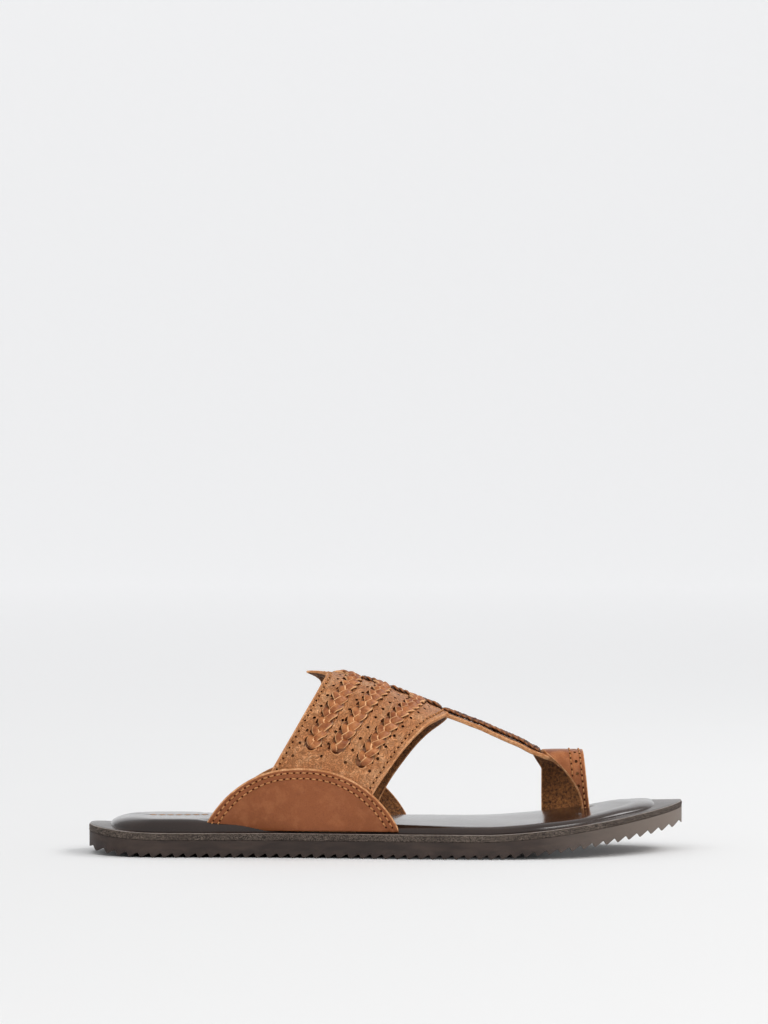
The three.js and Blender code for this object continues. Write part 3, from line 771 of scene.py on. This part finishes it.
def leatherStrip(name, points, along, columns, size, materials, replaced, relief, depths=None,
                 under=None):
    # a sheet carried along one parameter: outer face, rounded cut edge, inner face and rounded cut edge again
    top, bottom = depths or (0.0, size["thick"])
    radius = size["round"]
    width = widthAt(points, along)[:, None]
    length = runAlong(points(along, np.full_like(along, 0.5)))[:, None]
    border = (radius + size["border"]) / width
    flat = np.linspace(0, 1, columns + 1)
    turn = np.radians([22, 45, 68, 90])
    turnIn, turnDown = radius * (1 - np.sin(turn)), radius * (1 - np.cos(turn))
    # each place across: its share of the width, its depth and its finish, 0 outer, 1 cut edge and 2 inner
    across = [(radius / width, top, 1)]
    across += [(mix(border, 1 - border, t), top, 0) for t in flat]
    across.append((1 - radius / width, top, 1))
    across += [(1 - a / width, top + b, 1) for a, b in zip(turnIn, turnDown)]
    across += [(1 - a / width, bottom - b, 1) for a, b in zip(turnIn[::-1], turnDown[::-1])]
    across += [(mix(border, 1 - border, t), bottom, 2) for t in flat[::-1]]
    across += [(a / width, bottom - b, 1) for a, b in zip(turnIn, turnDown)]
    across += [(a / width, top + b, 1) for a, b in zip(turnIn[::-1], turnDown[::-1])]
    places, depth, kind = zip(*across)
    c = np.concatenate(places, 1)
    rows = np.broadcast_to(along[:, None], c.shape)
    centre, _, _, normal = surfaceFrame(points, rows, c)
    lift = relief(rows, c, width, centre)
    depth = np.array(depth)[None, :]
    innerLift = lift * 0.6 if under is None else under(rows, c, lift)
    lift = mix(lift, innerLift, clamp((depth - top) / (bottom - top)))
    verts = centre + normal * (lift - depth)[..., None]
    count = c.shape[1]
    faces = gridFaces(len(along), count, closedColumns=True)
    # a cut edge also takes in the narrow bevels beside it
    ringKind = [1 if (a == 1 or b == 1 or a != b) else a for a, b in zip(kind, np.roll(kind, -1))]
    if size.get("turnedUnder"):  # the outer leather runs round the rear edge
        ringKind[0] = ringKind[-1] = 0
        ringKind[-len(turn):] = [0] * len(turn)
    faceKind = np.tile(ringKind, len(along) - 1).tolist()
    # the two ends: quads from the outer to the inner face, and a face over each rounded side
    innerStart = columns + 3 + len(turn) * 2
    innerLast = innerStart + columns
    ends = [[1 + k, innerLast - k, innerLast - k - 1, 2 + k] for k in range(columns)]
    ends += [list(range(columns + 1, innerStart + 1))[::-1], (list(range(innerLast, count)) + [0, 1])[::-1]]
    for face in ends:
        faces += [face, [v + (len(along) - 1) * count for v in face[::-1]]]
    faceKind += [1] * (len(faces) - len(faceKind))
    uv = np.stack([c * width, np.broadcast_to(length, c.shape)], -1)
    return newPiece(name, verts, faces, materials, replaced, faceKind, uv)


def peakShare(s, c):  # 1 at the point of the rear edge, 0 a little way from it
    return bump(s - band["peakAt"], band["peakWidth"] * 1.3) * clamp(1 - c / 0.22) ** 1.5


def bandUnder(s, c, lift):  # the inner face follows the outer one softly, close to it at the thin point
    peak = peakShare(s, c)
    return (lift - band["curl"] * peak) * 0.6 + (band["curl"] + band["thinning"]) * peak


def bandRelief(s, c, width, centre):
    # a trough with two lips under each plait, a pull along each stitch row, and slow waves
    over = np.where(s > 0.5, 1 - s, s)
    total = fineNoise(centre, 34.0, 31) * 0.16
    for at, start in zip(band["plaits"], band["plaitStart"]):
        reach = clamp((over - start + 0.012) / 0.02)
        aside = np.abs(c - at) * width
        total = total + reach * (0.5 * bump(aside - 4.9, 1.2) - 1.1 * bump(aside, 3.4))
    rear, front = c * width - band["rearStitch"], (1 - c) * width - band["frontStitch"]
    return total - 0.28 * bump(rear, 0.75) - 0.28 * bump(front, 0.75) + band["curl"] * peakShare(s, c)


def archRows(leg, arch):  # places down the outer leg, round the arch and down the inner leg
    legs = [np.linspace(-1, 0, leg)[:-1], np.linspace(1, 2, leg)[1:]]
    return np.concatenate([legs[0], np.linspace(0, 1, arch), legs[1]])


tans = [bandGrain, rawEdge, fleshSide]
instepBand = leatherStrip("instepBand", bandPoints, archRows(40, band["rows"] - 79), band["columns"], band,
                          tans, ["upper"], bandRelief, under=bandUnder)


def arcSpots(points, c, start, stop, pitch):
    # s values at equal distances along the line c
    s = np.linspace(start, stop, 900)
    line = points(s, np.full_like(s, c))
    run = runAlong(line)
    count = max(int(round(run[-1] / pitch)), 1)
    return np.interp(np.arange(count + 1) * run[-1] / count, run, s)


def studs(name, centres, normals, sides, outline, heights, materials, stretch=1.0):
    # one small turned shape at each place: rings of the outline's radius at each height along the normal
    steps = 14
    angle = fullTurn(steps)[None, :, None]
    ahead = np.cross(normals, sides)[:, None, :]
    ringDirection = sides[:, None, :] * np.cos(angle) + ahead * stretch * np.sin(angle)
    layers = []
    for radius, height in zip(outline, heights):
        layers.append(centres[:, None, :] + ringDirection * radius + normals[:, None, :] * height)
    verts = np.stack(layers, 1)
    faces = []
    for k in range(len(centres)):
        faces += tubeFaces(len(outline), steps, k * len(outline) * steps)
    return newPiece(name, verts, faces, materials)


def punchHoles():
    s, c = [], []
    for at, start in zip(band["holeRows"], band["holeStart"]):
        spots = arcSpots(bandPoints, at, start, 1 - start, band["holePitch"])
        # none near the peak in the rear row, nor under the crest's plait in the others
        crowded = bump(spots - band["peakAt"], 0.06) > 0.5 if at < 0.2 else np.abs(spots - 0.53) < 0.035
        spots = spots[~crowded]
        s.append(spots)
        c.append(np.full_like(spots, at))
    s, c = np.concatenate(s), np.concatenate(c)
    centre, alongS, _, normal = surfaceFrame(bandPoints, s, c)
    radius = [band["holeRadius"]] * 2
    # the cutter's finish, painted shade, goes onto the holes' walls
    cutter = studs("holeCutter", centre, normal, alongS, radius, [-3.2, 1.6], [holeShade])
    cutAway(instepBand, cutter)


punchHoles()
print("band made and punched")

strap = {"thick": 1.9, "round": 0.4, "border": 0.3, "width": 13.0, "crown": 0.5, "start": 160.0, "end": 205.0}
strapTable = {
    "x": [162, 185, 205, 221],
    "y": [6, 6.5, 9, 13.6],
    "z": [69.6, 60.9, 52.3, 45.4],
    "tilt": [0, 0, 3, 6],
}
ring = {
    "thick": 1.5, "round": 0.35, "border": 0.1, "centreY": 21.5, "half": 15.5, "top": 48.0, "shoulder": 27.0,
    "rear": 217.6, "front": 237.0, "lean": 0.1, "sweep": 18.8, "flare": 4.5, "lining": 6.0, "proud": 0.5,
    "stitchInsets": (2.0, 6.6), "stitchPitch": 2.9, "holeInset": 4.2, "holePitch": 6.0,
}


def ringSection(x, inset=0.0):
    centreY, half = ring["centreY"], ring["half"] - inset
    section = {"crestY": centreY, "lateral": centreY - half, "lateralFoot": centreY - half + 0.5}
    section |= {"medial": centreY + half, "medialFoot": centreY + half - 2.5, "top": ring["top"] - inset}
    section |= {"shoulder": ring["shoulder"], "footZ": midsoleTop(x) + footRise}
    return section | {"lateralPower": 4.0, "medialPower": 2.6}


def ringRear(s, z):  # the rear edge sweeps forward down the leg between the toes
    flare = ring["flare"] * clamp((z - 38) / 8) * clamp((47.5 - z) / 2) * clamp((s - 0.5) / 0.1)
    return ring["rear"] + np.where(s < 0.5, ring["sweep"] * (1 - clamp((z - 20) / 28) ** 1.9), -flare)


def ringPoints(s, c):  # the front edge leans forward going down
    s, c = np.broadcast_arrays(s, c)
    z = archPoints(ringSection(ring["front"]), ring["front"], s)[..., 2]
    front = ring["front"] + (ring["top"] - z) * ring["lean"]
    x = mix(ringRear(s, z), front, c)
    return archPoints(ringSection(x), x, s)


def strapEdge(x, aside):
    tilt = np.radians(readTable(strapTable, "tilt", x))
    y = readTable(strapTable, "y", x) + aside * np.cos(tilt)
    return np.stack([x, y, readTable(strapTable, "z", x) + aside * np.sin(tilt)], -1)


def thongKnots():
    # the strap's two edges, then a turn under the ring, then the lining down the leg between the toes
    xs = np.linspace(strap["start"], strap["end"], 8)
    near, far = strapEdge(xs, -strap["width"] / 2), strapEdge(xs, strap["width"] / 2)
    s = np.array([0.25, 0.2, 0.15, 0.1, 0.05, 0, -0.25, -0.5, -0.75, -1])
    inside = archPoints(ringSection(ring["front"], ring["thick"]), ring["front"], s)
    leg = inside.copy()
    leg[:, 0] = ringRear(s, inside[:, 2]) - ring["proud"]
    deep = leg.copy()
    frontEdgeX = ring["front"] + (ring["top"] - leg[:, 2]) * ring["lean"]
    deep[:, 0] = np.minimum(leg[:, 0] + ring["lining"], frontEdgeX - 1.0)
    near = np.concatenate([near, [[212, 4.9, 48.4], [217, 7.6, 46.3]], leg])
    far = np.concatenate([far, [[212, 18.2, 49.0], [219, 19.0, 46.1]], [[228, 13.5, 45.2]], deep[1:]])
    return runAlong((near + far) / 2), near, far


thongRun, thongNear, thongFar = thongKnots()


def thongPoints(u, c):  # c runs from the far edge to the near one
    u, c = np.broadcast_arrays(u, c)
    at = clamp(u) * thongRun[-1]
    edges = []
    for edge in (thongFar, thongNear):
        table = {"x": thongRun} | {axis: edge[:, axis] for axis in range(3)}
        edges.append(np.stack([readTable(table, axis, at) for axis in range(3)], -1))
    points = mix(edges[0], edges[1], c[..., None])
    points[..., 2] += strap["crown"] * (1 - (2 * c - 1) ** 2) * clamp((215 - points[..., 0]) / 8)
    return points + (u - clamp(u))[..., None] * [50.0, 0, 0]  # past its ends it runs straight on


def thongRelief(u, c, width, centre):
    trough = bump((c - 0.5) * width, 2.6) * clamp((214 - centre[..., 0]) / 6)
    return fineNoise(centre, 18.0, 41) * 0.1 - 0.5 * trough


def ringRelief(s, c, width, centre):
    channels = sum(bump((1 - c) * width - inset, 0.7) for inset in ring["stitchInsets"])
    return fineNoise(centre, 20.0, 43) * 0.14 - 0.2 * channels


leatherStrip("centreStrap", thongPoints, np.linspace(0, 1, 260), 26, strap, tans,
             ["upper"], thongRelief)
toeRing = leatherStrip("toeRing", ringPoints, archRows(30, 130), 30, ring,
                       [ringTan, rawEdge, fleshSide], ["upper"], ringRelief)


def punchRing():
    s = np.linspace(0.06, 0.96, 600)
    c = 1 - ring["holeInset"] / widthAt(ringPoints, s)
    run = runAlong(ringPoints(s, c))
    spots = np.interp(np.arange(0, run[-1], ring["holePitch"]), run, s)
    centre, alongS, _, normal = surfaceFrame(ringPoints, spots, np.interp(spots, s, c))
    radius = [band["holeRadius"]] * 2
    # the cutter's finish, painted shade, goes onto the holes' walls
    cutter = studs("ringCutter", centre, normal, alongS, radius, [-2.4, 1.4], [holeShade])
    cutAway(toeRing, cutter)


punchRing()
print("strap and ring made")

panel = {
    "thick": 1.6, "round": 0.4, "border": 0.5, "turnedUnder": True, "off": 0.3, "rows": 220, "columns": 44,
    "centre": 102.0, "shift": 5.0, "half": 46.5, "rise": 29.8, "foot": {"lateral": 0.4, "medial": 1.0},
    "stitchInsets": (2.2, 4.8), "stitchPitch": 3.1, "stitchFrom": 2.6,
}


def panelTop(x, centre):  # a flat-topped arch
    return panel["rise"] * (1 - clamp(np.abs(x - centre) / panel["half"]) ** 2.3) ** 0.8


def panelCentre(side):
    return panel["centre"] + (0 if side == "lateral" else panel["shift"])


def panelX(side, u):  # u runs round a half turn from the rear corner to the front one
    return panelCentre(side) - panel["half"] * 0.985 * np.cos(np.pi * u)


def panelPoints(side):
    centre = panelCentre(side)
    def points(u, v):
        # v runs from the foot to the top edge
        u, v = np.broadcast_arrays(u, v)
        x = panelX(side, clamp(u)) + (u - clamp(u))
        z = lastSection(x)["footZ"] + mix(panel["foot"][side], panelTop(x, centre), v)
        s = sectionAt(x, z)
        return lastPoints(x, s if side == "lateral" else 1 - s)
    return points


def panelWave(v, centre):  # a soft swell in the middle, two slow hollows near the corners, and slow waves
    x, z = centre[..., 0], centre[..., 2]
    hollows = 0.5 * bump(x - 72, 7) * bump(z - 22, 7) + 0.3 * bump(x - 136, 5) * bump(z - 20, 6)
    swell = 0.5 * np.sin(np.pi * clamp(v)) * bump(x - 100, 34)
    return swell - hollows + fineNoise(centre, 30.0, 51) * 0.14


def edgeInset(side, x, height):
    # how far a place on the panel is inside the top edge, measured square to the edge
    edgeX = panelX(side, np.linspace(0, 1, 240))
    edgeZ = panelTop(edgeX, panelCentre(side))
    flatX, flatZ = x.reshape(-1, 1), height.reshape(-1, 1)
    return np.sqrt(((flatX - edgeX) ** 2 + (flatZ - edgeZ) ** 2).min(1)).reshape(x.shape)


def panelRelief(side):
    # pressed channels under the two stitch rows, over the slow swell
    def relief(u, v, width, centre):
        height = centre[..., 2] - lastSection(centre[..., 0])["footZ"]
        inset = edgeInset(side, centre[..., 0], height)
        channels = sum(bump(inset - row, 0.8) for row in panel["stitchInsets"])
        return panelWave(v, centre) - 0.25 * channels
    return relief


def makePanel(side):
    points = panelPoints(side)
    # the outer side's sheet runs the other way, so that its normal is outward too
    run = (lambda u, v: points(1 - u, v)) if side == "lateral" else points
    depths = (-panel["off"] - panel["thick"], -panel["off"])
    along = np.linspace(0, 1, panel["rows"])
    leatherStrip(side + "Panel", run, along, panel["columns"], panel,
                 [panelSmooth, rawEdge, fleshSide], [side + "_panel"], panelRelief(side), depths)


for side in ("lateral", "medial"):
    makePanel(side)
print("panels made")

plait = {
    "swing": 2.3, "rise": 0.95, "period": 15.6, "base": 0.35, "width": 3.5, "thick": 1.5,
    "squareness": 0.62, "ends": 3.0, "endSink": 2.2, "section": 12, "step": 0.42,
}


def makePlait(name, path, side, normal, size=plait, phase=0.0, material=plaitTan):
    # three strands; sideways = swing times sine of the phase, height = rise times sine of twice the phase
    run = runAlong(path)
    count = int(run[-1] / size["step"])
    at = np.linspace(0, run[-1], count)
    path, side, normal = [resample(at, run, array) for array in (path, side, normal)]
    side, normal = unit(side), unit(normal)
    fade = clamp(np.minimum(at, run[-1] - at) / size["ends"])
    sink = (1 - fade) ** 2 * size["endSink"]
    # the strip's section, a rounded rectangle
    angle = fullTurn(size["section"])
    flatX = np.sign(np.cos(angle)) * np.abs(np.cos(angle)) ** size["squareness"] * size["width"] / 2
    flatY = np.sign(np.sin(angle)) * np.abs(np.sin(angle)) ** 0.8 * size["thick"] / 2
    verts, faces, uvs = [], [], []
    for strand in range(3):
        theta = 2 * np.pi * (at / size["period"] + strand / 3) + phase
        vary = fineNoise(path, 9.0, 60 + strand)
        sideways = size["swing"] * np.sin(theta) * (0.35 + 0.65 * fade) * (1 + 0.13 * vary)
        height = size["base"] + size["rise"] * np.sin(2 * theta) - sink
        centre = path + side * sideways[:, None] + normal * height[:, None]
        tangent = unit(np.gradient(centre, axis=0))
        wide = unit(np.cross(normal, tangent))
        high = np.cross(tangent, wide)
        # the strip rolls a little towards the side it is heading for
        roll = (0.38 * np.cos(theta) + 0.22 * vary)[:, None]
        wide, high = wide * np.cos(roll) + high * np.sin(roll), high * np.cos(roll) - wide * np.sin(roll)
        taper = (0.45 + 0.55 * fade) * (1 + 0.12 * fineNoise(path, 7.0, 70 + strand))
        body = centre[:, None, :] + wide[:, None, :] * flatX[None, :, None] * taper[:, None, None]
        body = body + high[:, None, :] * flatY[None, :, None]
        verts.append(body.reshape(-1, 3))
        faces += tubeFaces(count, size["section"], strand * count * size["section"])
        v = 0.5 + flatX / size["width"]
        # u is the strand's height, which the finish turns into painted shade where it is low
        high01 = (0.5 + 0.5 * np.sin(2 * theta)) * fade
        uvs.append(np.stack(np.broadcast_arrays(high01[:, None], v[None, :]), -1).reshape(-1, 2))
    return newPiece(name, np.concatenate(verts), faces, [material], uv=np.concatenate(uvs))


slits = {"aside": 4.15, "radius": 0.62, "stretch": 2.3, "heights": (-0.8, 0.22, 0.3)}


def makeSlits(name, centre, alongS, alongC, normal, phase):
    # painted shade in the slit each strand comes out of, where it swings widest on either side
    run = runAlong(centre)
    spots, sides, normals = [], [], []
    third = plait["period"] / 3
    for k, sign in ((0.25, 1), (0.75, -1)):
        start = (k - phase / (2 * np.pi)) * plait["period"]
        at = np.arange(start % third, run[-1], third)
        at = at[(at > 3) & (at < run[-1] - 3)] - 1.2
        spots.append(resample(at, run, centre + alongC * sign * slits["aside"]))
        sides.append(unit(resample(at, run, alongC) + 0.35 * sign * resample(at, run, alongS)))
        normals.append(resample(at, run, normal))
    spots, sides, normals = [np.concatenate(parts) for parts in (spots, sides, normals)]
    outline, heights = [slits["radius"] * share for share in (1, 0.9, 0.5)], slits["heights"]
    studs(name, spots, normals, sides, outline, heights, [holeShade], slits["stretch"])


for index, (at, start) in enumerate(zip(band["plaits"], band["plaitStart"])):
    s = np.linspace(start - 0.01, 1 - start + 0.01, 700)
    centre, alongS, alongC, normal = surfaceFrame(bandPoints, s, np.full_like(s, at))
    phase = 0.9 * index
    makePlait("bandPlait" + "ABC"[index], centre, alongC, normal, phase=phase)
    makeSlits("bandSlits" + "ABC"[index], centre, alongS, alongC, normal, phase)

lace = plait | {"swing": 1.5, "rise": 0.5, "period": 9.0, "width": 2.4, "thick": 1.2, "base": 0.9}
crestRuns = [(119.5, 125.5), (129.0, 140.5), (142.5, 154.5), (157.0, 169.0)]
for index, (start, stop) in enumerate(crestRuns):
    crestX = np.linspace(start, stop, 60)
    crest = lastPoints(crestX, 0.53)
    crestAlong = unit(lastPoints(crestX + 0.5, 0.53) - lastPoints(crestX - 0.5, 0.53))
    crestSide = unit(lastPoints(crestX, 0.54) - lastPoints(crestX, 0.52))
    crestNormal = unit(np.cross(crestAlong, crestSide))
    makePlait("crestLace" + "ABCD"[index], crest, crestSide, crestNormal, lace, index * 0.7, laceDark)
laceU = np.linspace(0.08, 0.6, 400)
laceU = laceU[thongPoints(laceU, 0.5)[:, 0] < 217.5]
centre, _, alongC, normal = surfaceFrame(thongPoints, laceU, np.full_like(laceU, 0.5))
makePlait("strapLace", centre, alongC, normal, lace | {"base": 1.0}, 1.3, laceDark)


def makeEndLoops():
    # the pale-rimmed pocket that each plait comes out of, at its two lower ends, with painted shade inside it
    s = np.array([(start + 0.004, 1 - start - 0.004) for start in band["plaitStart"]]).ravel()
    c = np.repeat(band["plaits"], 2)
    centre, alongS, alongC, normal = surfaceFrame(bandPoints, s, c)
    downward = np.where(s < 0.5, -1.0, 1.0)[:, None]
    centre = centre + alongS * downward
    for name, outline, heights, material in (
        ("plaitPocketRims", [3.1, 3.05, 2.7, 2.3], [-0.9, 0.15, 0.4, 0.2], rawEdge),
        ("plaitPocketShade", [2.25, 2.2], [-0.8, 0.3], holeShade),
    ):
        studs(name, centre, normal, alongC, outline, heights, [material], 0.95)


makeEndLoops()
print("plaits made")

stitch = {"radius": 0.38, "rise": 0.36, "sink": 0.14, "shorter": 1.0, "along": 9, "around": 8}
rng = np.random.default_rng(7)


def makeStitches(name, spots):
    # each stitch is a bent capsule between two needle holes; spots are (points, normals) runs of hole places
    starts = np.concatenate([p[:-1] for p, _ in spots])
    ends = np.concatenate([p[1:] for p, _ in spots])
    normals = unit(np.concatenate([n[:-1] + n[1:] for _, n in spots]))
    gap = np.linalg.norm(ends - starts, axis=-1, keepdims=True)
    tangent = (ends - starts) / gap
    side = np.cross(normals, tangent)
    tangent = unit(tangent + side * rng.normal(0, 0.07, (len(starts), 1)))
    side = np.cross(normals, tangent)
    middle, half = (starts + ends) / 2, (gap - stitch["shorter"]) / 2
    t = np.linspace(-1, 1, stitch["along"])
    bulge = np.sqrt(np.clip(1 - np.abs(t) ** 2.6, 0.0, 1))
    angle = fullTurn(stitch["around"])
    spine = middle[:, None, :] + tangent[:, None, :] * (half[:, :, None] * t[None, :, None])
    lift = stitch["rise"] * bulge - stitch["sink"] - 0.25 * np.abs(t) ** 4
    spine = spine + normals[:, None, :] * lift[None, :, None]
    radius = stitch["radius"] * (0.25 + 0.75 * bulge)
    around = side[:, None, None, :] * np.cos(angle)[:, None]
    around = around + normals[:, None, None, :] * np.sin(angle)[:, None]
    verts = spine[:, :, None, :] + around * radius[None, :, None, None]
    count = len(starts)
    faces = []
    for k in range(count):
        faces += tubeFaces(stitch["along"], stitch["around"], k * stitch["along"] * stitch["around"])
    alongUv, aroundUv = t[None, :, None] * 0.5, (angle / 6.283)[None, None, :]
    uv = np.stack(np.broadcast_arrays(alongUv, aroundUv, np.zeros((count, 1, 1)))[:2], -1)
    newPiece(name + "Thread", verts, faces, [threadTan], uv=uv)
    # a dark disc at each needle hole: painted shade in the hole
    holes = np.concatenate([p for p, _ in spots])
    holeNormals = unit(np.concatenate([n for _, n in spots]))
    helper = unit(np.cross(holeNormals, [0.3, 0.5, 0.8]))
    outline, heights = [0.46, 0.44, 0.3], [-0.3, 0.05, 0.1]
    studs(name + "NeedleHoles", holes, holeNormals, helper, outline, heights, [holeShade])


def evenPlaces(path, pitch, *along):
    # the parameters of equally spaced places along a path, near the pitch
    run = runAlong(path)
    count = int(run[-1] / pitch)
    at = np.arange(count + 1) * run[-1] / count
    return [np.interp(at, run, values) for values in along]


def runSpots(points, s, c, pitch, height, wave):
    s, c = evenPlaces(points(s, c), pitch, s, c)
    centre, _, _, normal = surfaceFrame(points, s, c)
    return centre + normal * (height + wave(centre))[:, None], normal


def bandRun(fromRear=None, fromFront=None):
    s = np.linspace(0.03, 0.97, 1200)
    width = widthAt(bandPoints, s)
    c = fromRear / width if fromRear else 1 - fromFront / width
    return runSpots(bandPoints, s, c, band["stitchPitch"], -0.04, lambda p: fineNoise(p, 34.0, 31) * 0.16)


makeStitches("band", [bandRun(fromRear=band["rearStitch"]), bandRun(fromFront=band["frontStitch"])])


def panelRun(side, inset):
    # the top edge moved in by the inset, square to itself as seen from the side
    centre = panelCentre(side)
    x = panelX(side, np.linspace(0.01, 0.99, 1500))
    z = panelTop(x, centre)
    tangent = unit(np.stack([np.gradient(x), np.gradient(z)], -1))
    x, z = x + tangent[:, 1] * inset, z - tangent[:, 0] * inset
    keep = z > panel["stitchFrom"]
    x, z = x[keep], z[keep] + lastSection(x[keep])["footZ"]
    s = sectionAt(x, z)
    s = s if side == "lateral" else 1 - s
    x, s = evenPlaces(lastPoints(x, s), panel["stitchPitch"], x, s)
    spot, _, _, inward = surfaceFrame(lastPoints, x, s)
    height = spot[:, 2] - lastSection(spot[:, 0])["footZ"]
    v = clamp(height / np.maximum(panelTop(spot[:, 0], centre), 1))
    height = panel["off"] + panel["thick"] - 0.2 + panelWave(v, spot)
    return spot - inward * height[:, None], -inward


for side in ("lateral", "medial"):
    makeStitches(side + "Panel", [panelRun(side, inset) for inset in panel["stitchInsets"]])


def ringRun(inset, start, stop):
    s = np.linspace(start, stop, 900)
    c = 1 - inset / widthAt(ringPoints, s, 15)
    return runSpots(ringPoints, s, c, ring["stitchPitch"], -0.03, lambda p: fineNoise(p, 20.0, 43) * 0.14)


outerInset, innerInset = ring["stitchInsets"]
makeStitches("ring", [ringRun(outerInset, -0.8, 1.8), ringRun(innerInset, 0.13, 0.95)])
print("stitches made")

stage = {
    "near": -4.0, "far": 5.0, "wide": 6.0, "bend": 1.6, "height": 5.0, "grey": 0.8,
    "falloff": 2.5, "brightest": (0.5, -0.7, 0), "glow": (0.34, 0.342, 0.348),
}


def makeBackdrop():
    # a floor that bends up behind in a quarter circle
    angle = np.linspace(0, np.pi / 2, 24)
    back = stage["far"] + stage["bend"]
    ys = np.concatenate([[stage["near"]], stage["far"] + stage["bend"] * np.sin(angle), [back]])
    zs = np.concatenate([[0], stage["bend"] * (1 - np.cos(angle)), [stage["height"]]])
    xs = np.linspace(-stage["wide"], stage["wide"], 5)
    verts = np.stack(np.broadcast_arrays(xs[None, :], ys[:, None], zs[:, None]), -1).reshape(-1, 3)
    mesh = bpy.data.meshes.new("backdrop")
    mesh.from_pydata(verts.tolist(), [], gridFaces(len(ys), len(xs)))
    mesh.polygons.foreach_set("use_smooth", np.full(len(mesh.polygons), True))
    finish = Finish("backdropPaper", **{"Roughness": 0.9, "Specular IOR Level": 0.1})
    finish.shader.inputs["Base Color"].default_value = (stage["grey"],) * 3 + (1,)
    finish.shader.inputs["Emission Strength"].default_value = 1.0
    # the lights' fall-off over the paper, 1 / (1 + (distance / height)^2)^2, is made up by a faint glow
    inputs = {0: finish.place, 1: stage["brightest"]}
    aside = finish.start.node("ShaderNodeVectorMath", {"operation": "SUBTRACT"}, inputs)
    distance = finish.start.node("ShaderNodeVectorMath", {"operation": "LENGTH"}, {0: aside}, "Value")
    near = 1 / ((distance / stage["falloff"]) ** 2.0 + 1) ** 2.0
    # none of it under the sole, where the gaps of the tread stay dark
    under = 1 - (finish.axis(0) + 0.03).absolute().band(0.09, 0.115)
    under = under * (1 - finish.axis(1).absolute().band(0.03, 0.045))
    finish.glow(finish.blend(near + (1 - near) * under, stage["glow"], (0.0, 0.0, 0.0)))
    mesh.materials.append(finish.material)
    backdrop = bpy.data.objects.new("backdrop", mesh)
    bpy.context.scene.collection.objects.link(backdrop)


makeBackdrop()

world = bpy.data.worlds.new("studio")
bpy.context.scene.world = world
world.use_nodes = True
sky = world.node_tree.nodes["Background"].inputs
sky["Color"].default_value = (0.985, 0.99, 1.0, 1)
sky["Strength"].default_value = 0.55


def softLight(name, place, aim, size, power, colour=(1, 1, 1)):
    data = bpy.data.lights.new(name, "AREA")
    data.shape, data.size, data.size_y = "RECTANGLE", size[0], size[1]
    data.energy, data.color = power, colour
    light = bpy.data.objects.new(name, data)
    light.location = place
    light.rotation_mode = "QUATERNION"
    light.rotation_quaternion = (Vector(aim) - Vector(place)).to_track_quat("-Z", "Y")
    bpy.context.scene.collection.objects.link(light)
    return light


softLight("topBox", (1.2, 0.2, 1.3), (0.05, 0, 0), (0.7, 0.7), 8.0)
softLight("sideBox", (1.1, -1.4, 1.2), (0, 0, 0.04), (0.8, 0.8), 11.0, (1.0, 0.985, 0.96))
frontBox = softLight("frontBox", (-0.5, -1.7, 1.9), (0, 0, 0.04), (3.0, 2.4), 18.0)
frontBox.visible_glossy = False  # it would leave a pale stripe on the glossy pad

lens = {"length": 161.0, "distance": 2.2, "elevation": 4.0, "x": -0.0015, "aimZ": 0.1628}
cameraData = bpy.data.cameras.new("camera")
cameraData.lens, cameraData.sensor_width, cameraData.sensor_fit = lens["length"], 36.0, "AUTO"
camera = bpy.data.objects.new("camera", cameraData)
bpy.context.scene.collection.objects.link(camera)
bpy.context.scene.camera = camera
tiltDown = np.radians(lens["elevation"])
target = Vector((lens["x"], 0.0, 0.03))
camera.location = target + Vector((0, -np.cos(tiltDown), np.sin(tiltDown))) * lens["distance"]
aim = Vector((lens["x"], 0.0, lens["aimZ"]))
camera.rotation_mode = "QUATERNION"
camera.rotation_quaternion = (aim - camera.location).to_track_quat("-Z", "Y")
bpy.context.scene.view_settings.view_transform = "Standard"
print("stage made")
